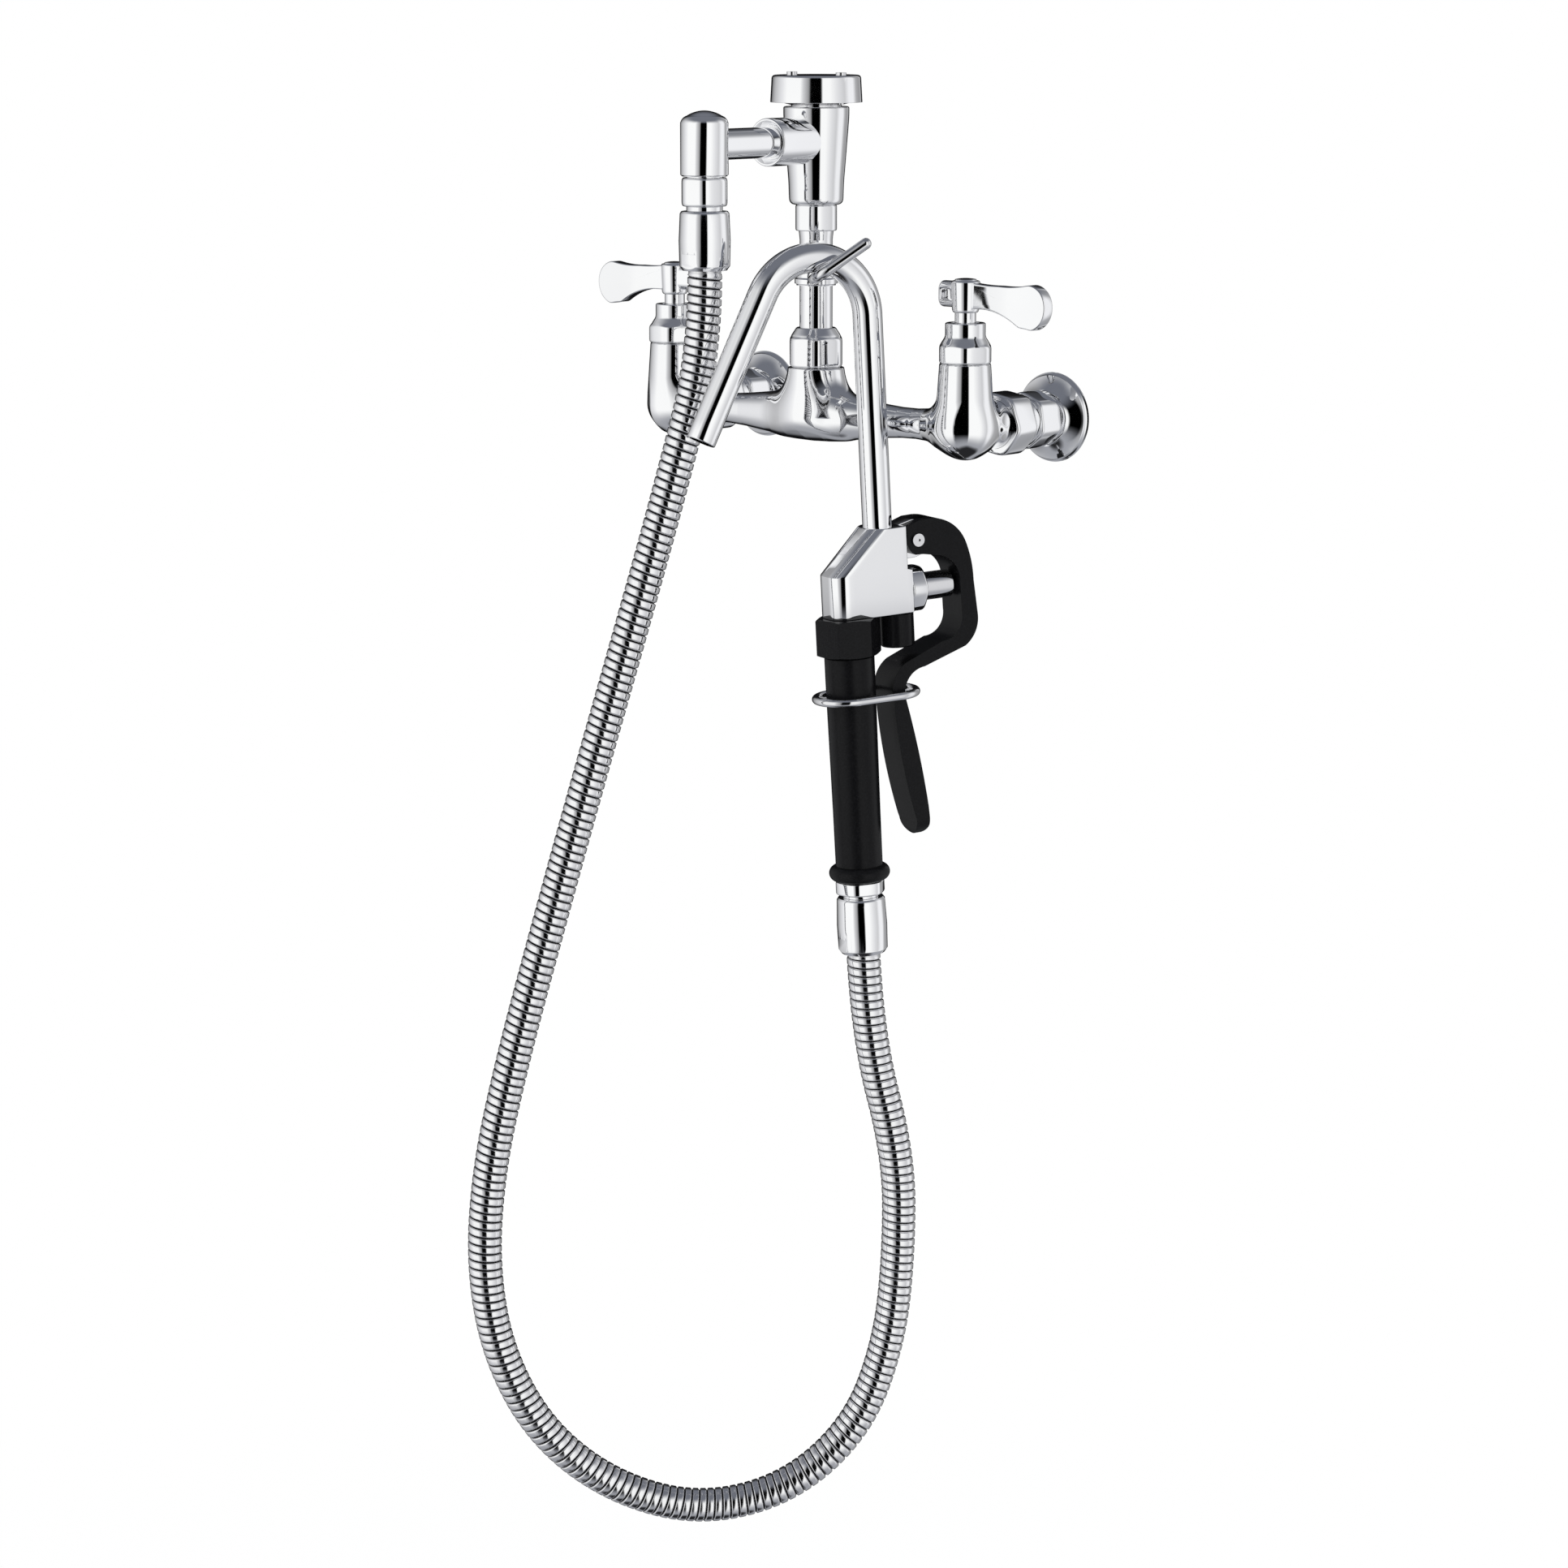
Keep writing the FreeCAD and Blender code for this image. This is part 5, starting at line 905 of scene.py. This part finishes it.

# %% [markdown]
# ## The steel skin of the hose
# An interlocked hose is a steel strip wound in a helix and hooked into itself. Along its
# length that reads as a rounded crown, a small step where the next turn tucks in, and a
# narrow groove, whose deepest part is painted near black as painted shade. The radius is a
# function of the distance along the hose plus the angle round it, which makes one continuous helix.

# %% Steel strip finish
hose_steel, hose_shader, hose_finish = new_finish(
    "wound steel strip", 1.0, 0.12, STEEL)
groove = hose_finish.node("ShaderNodeAttribute", {"attribute_name": "groove"}, output="Fac")
# Where the groove is deep the steel is painted near black: painted shade in the gap between the
# turns.
connect(hose_shader, hose_finish, "Base Color", hose_finish.mix(
    groove.above(0.62, 0.4), (0.90, 0.90, 0.91, 1.0), (0.012, 0.012, 0.013, 1.0)))
scratches = hose_finish.noise(160.0, 4.0, 0.6)
connect(hose_shader, hose_finish, "Roughness",
        scratches * 0.10 + groove.above(0.5, 0.5) * 0.35 + 0.06)
print(hose_steel.name)

# %% Hose skin
END_CUFF = 0.002
PITCH = 4.45
SIDES = 26
TURN_STEPS = np.array([0.0, 0.05, 0.09, 0.13, 0.19, 0.45, 0.70, 0.77, 0.82, 0.88, 0.95])
STEP_DEPTHS = np.array([1.0, 0.55, 0.18, 0.04, 0.0, 0.0, 0.0, 0.06, 0.35, 0.60, 1.0])
GROOVE_DEPTH = 1.05


def hose_skin():
    """Rings that are sheared into a helix: column j starts j / SIDES of a turn further back.

    Points = centre + radius * (first * cos a + second * sin a). The radius falls by the
    depth of the strip's outline at the ring's place in the turn.
    """
    turns = int(hose_length / MM / PITCH) + 2
    place = (np.arange(turns)[:, None] + TURN_STEPS[None, :]).ravel()
    depth = np.tile(STEP_DEPTHS, turns)
    column = np.arange(SIDES + 1) / SIDES
    distance = (place[:, None] - column[None, :]) * PITCH * MM
    depth = np.broadcast_to(depth[:, None], distance.shape)
    outside = (distance < END_CUFF) | (distance > hose_length - END_CUFF)
    depth = np.where(outside, 0.5, depth)
    distance = np.clip(distance, 0.0, hose_length)
    centre = np.stack([np.interp(distance, travelled, line[:, axis]) for axis in range(3)],
                      axis=-1)
    tangents = np.gradient(line, travelled, axis=0)
    tangent = np.stack([np.interp(distance, travelled, tangents[:, axis]) for axis in range(3)],
                       axis=-1)
    tangent /= np.linalg.norm(tangent, axis=-1, keepdims=True)
    first = across - (tangent @ across)[..., None] * tangent
    first /= np.linalg.norm(first, axis=-1, keepdims=True)
    second = np.cross(tangent, first)
    angle = (2 * math.pi * column)[None, :, None]
    radius = (HOSE_RADIUS - GROOVE_DEPTH * depth)[..., None] * MM
    skin = centre + radius * (np.cos(angle) * first + np.sin(angle) * second)
    ends = np.stack([np.broadcast_to(line[0], skin[0].shape),
                     np.broadcast_to(line[-1], skin[0].shape)])
    skin = np.concatenate([ends[:1], skin, ends[1:]])
    flat = np.full((1, SIDES + 1), 0.5)
    return skin, np.concatenate([flat, depth, flat])


skin, groove_shade_depth = hose_skin()
hose_mesh = bpy.data.meshes.new("hose_skin")
hose_faces = grid_faces(skin.shape[0], SIDES + 1, wrap_columns=False)
hose_mesh.from_pydata(skin.reshape(-1, 3).tolist(), [], hose_faces.tolist())
# The groove's depth is kept on the points, and the finish paints shade into the groove from it.
hose_mesh.attributes.new("groove", "FLOAT", "POINT").data.foreach_set(
    "value", groove_shade_depth.ravel().astype(np.float32))
hose_work = bmesh.new()
hose_work.from_mesh(hose_mesh)
bmesh.ops.remove_doubles(hose_work, verts=hose_work.verts, dist=2e-6)
bmesh.ops.recalc_face_normals(hose_work, faces=hose_work.faces)
hose_work.to_mesh(hose_mesh)
hose_work.free()
hose_mesh.shade_smooth()
hose = make_piece("steel_hose", hose_mesh, None, hose_steel, "hose_steel", "hose")
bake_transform(hose)

# %% [markdown]
# ## Floor, light and what the chrome sees
# Chrome shows its surroundings and nothing else, so a studio hangs white and grey cloth round
# it and leaves dark gaps where the reflections need edges. Here the world is plain white to
# the camera. In reflections it is a ring of tones by compass bearing, with a dark gap on the
# camera's side, a soft grey floor with a black spot right below, and a dim ceiling. A dark
# cone behind the object draws the thin outline that polished metal has before white paper.
# Plain soft lamps light the black parts.

# %% World
world = bpy.data.worlds.new("studio")
bpy.context.scene.world = world
world.use_nodes = True
sky = Finish(world.node_tree)
world.node_tree.nodes.clear()
direction = sky.node("ShaderNodeTexCoord", output="Generated")
parts = sky.node("ShaderNodeSeparateXYZ", {}, {0: direction})
east, north, up = (parts.other(axis) for axis in range(3))
toward = (math.sin(CAMERA_TURN), -math.cos(CAMERA_TURN))
rightward = (math.cos(CAMERA_TURN), math.sin(CAMERA_TURN))
near = east * toward[0] + north * toward[1]
right = east * rightward[0] + north * rightward[1]
bearing = sky.node("ShaderNodeMath", {"operation": "ARCTAN2"}, {0: right, 1: near})
TONES = [
    (-180, 0.02), (-158, 0.02), (-148, 0.22), (-128, 0.50), (-98, 0.80), (-80, 1.0),
    (-42, 1.0), (-33, 0.62), (-20, 0.32), (-15, 0.0), (12, 0.0), (16, 1.0), (34, 1.0),
    (58, 0.76), (76, 0.62), (90, 0.90), (106, 0.90), (120, 0.42), (140, 0.30), (150, 0.62),
    (156, 0.02), (180, 0.02)]
stops = [((angle + 180.0) / 360.0, (grey, grey * 1.005, min(1.0, grey * 1.025), 1.0))
         for angle, grey in TONES]
round_about = sky.node("ShaderNodeValToRGB", {"stops": stops},
                       {0: bearing * (1 / (2 * math.pi)) + 0.5})
FLOOR_TONE, BELOW_TONE = (0.34, 0.35, 0.38, 1.0), (0.02, 0.02, 0.022, 1.0)
CEILING_TONE, BEHIND_TONE = (0.16, 0.17, 0.20, 1.0), (0.006, 0.006, 0.007, 1.0)
SOFT_GREY, WHITE = (0.55, 0.56, 0.58, 1.0), (1.0, 1.0, 1.0, 1.0)
down = 0.0 - up
seen = sky.mix(down.above(0.62, 0.60), round_about, FLOOR_TONE)
seen = sky.mix(down.above(0.93, 0.10), seen, BELOW_TONE)
seen = sky.mix(up.above(0.60, 0.50), seen, CEILING_TONE)
behind = sky.node("ShaderNodeVectorMath", {"operation": "DOT_PRODUCT"}, {
    0: direction, 1: tuple(forward)}, output=1)
seen = sky.mix(behind.above(0.86, 0.10), seen, BEHIND_TONE)
is_camera = sky.node("ShaderNodeLightPath", output="Is Camera Ray")
plain = sky.mix(is_camera.other("Is Glossy Ray"), SOFT_GREY, seen)
plain = sky.mix(is_camera, plain, WHITE)
plain = sky.mix(is_camera.other("Is Transmission Ray"), plain, WHITE)
background = sky.node("ShaderNodeBackground", {}, {"Color": plain, "Strength": 1.0})
sky.node("ShaderNodeOutputWorld", {}, {"Surface": background})
print("world made with", len(TONES), "tones round the object")

# %% Floor and lamps
FLOOR_LEVEL = -0.9
FLOOR_HALF = 9000.0
floor_grid = np.array([[(east_mm, north_mm, FLOOR_LEVEL / MM)
                        for east_mm in (-FLOOR_HALF, FLOOR_HALF)]
                       for north_mm in (-FLOOR_HALF, FLOOR_HALF)])
floor_mesh = build_mesh("floor", [(floor_grid, False, False)])
floor_material, floor_shader, floor_finish = new_finish(
    "pale floor", 0.0, 0.8, (0.93, 0.93, 0.93))
floor_seen = floor_finish.node("ShaderNodeLightPath", output="Is Camera Ray")
floor_glow = floor_finish.node("ShaderNodeEmission", {}, {"Color": WHITE, "Strength": 1.0})
floor_spot = floor_finish.node("ShaderNodeVectorMath", {"operation": "DISTANCE"}, {
    0: floor_finish.place(), 1: (0.0, -0.2, FLOOR_LEVEL)}, output=1)
whiteness = 0.80 + 0.20 * floor_spot.above(0.75, 0.9)
floor_mix = floor_finish.node("ShaderNodeMixShader", {}, {
    0: floor_seen * whiteness, 1: Wire(floor_finish, floor_shader.outputs[0]), 2: floor_glow})
floor_output = [node for node in floor_material.node_tree.nodes
                if node.bl_idname == "ShaderNodeOutputMaterial"][0]
floor_material.node_tree.links.new(floor_mix.socket, floor_output.inputs["Surface"])
floor = bpy.data.objects.new("floor", floor_mesh)
floor_mesh.materials.append(floor_material)
floor.visible_glossy = False
bpy.context.scene.collection.objects.link(floor)


def add_lamp(name, place, aim, size, power):
    """A square soft lamp at a place, turned to its aim."""
    data = bpy.data.lights.new(name, "AREA")
    data.shape = "SQUARE"
    data.size = size
    data.energy = power
    lamp = bpy.data.objects.new(name, data)
    lamp.location = place
    lamp.rotation_euler = (Vector(aim) - Vector(place)).to_track_quat("-Z", "Y").to_euler()
    lamp.visible_glossy = False
    bpy.context.scene.collection.objects.link(lamp)


LAMP_AIM = (0.0, -0.1, -0.2)
add_lamp("key", (-1.2, -2.2, 1.9), LAMP_AIM, 1.6, 55.0)
add_lamp("fill", (2.4, -1.2, 0.6), LAMP_AIM, 1.8, 30.0)
add_lamp("rim", (0.6, 1.6, 1.4), LAMP_AIM, 1.4, 22.0)
print("floor at", FLOOR_LEVEL, "m and three lamps")

# %% [markdown]
# ## The view
# The render's colours are shown with the standard view transform.

# %% Standard view transform
bpy.context.scene.view_settings.view_transform = "Standard"
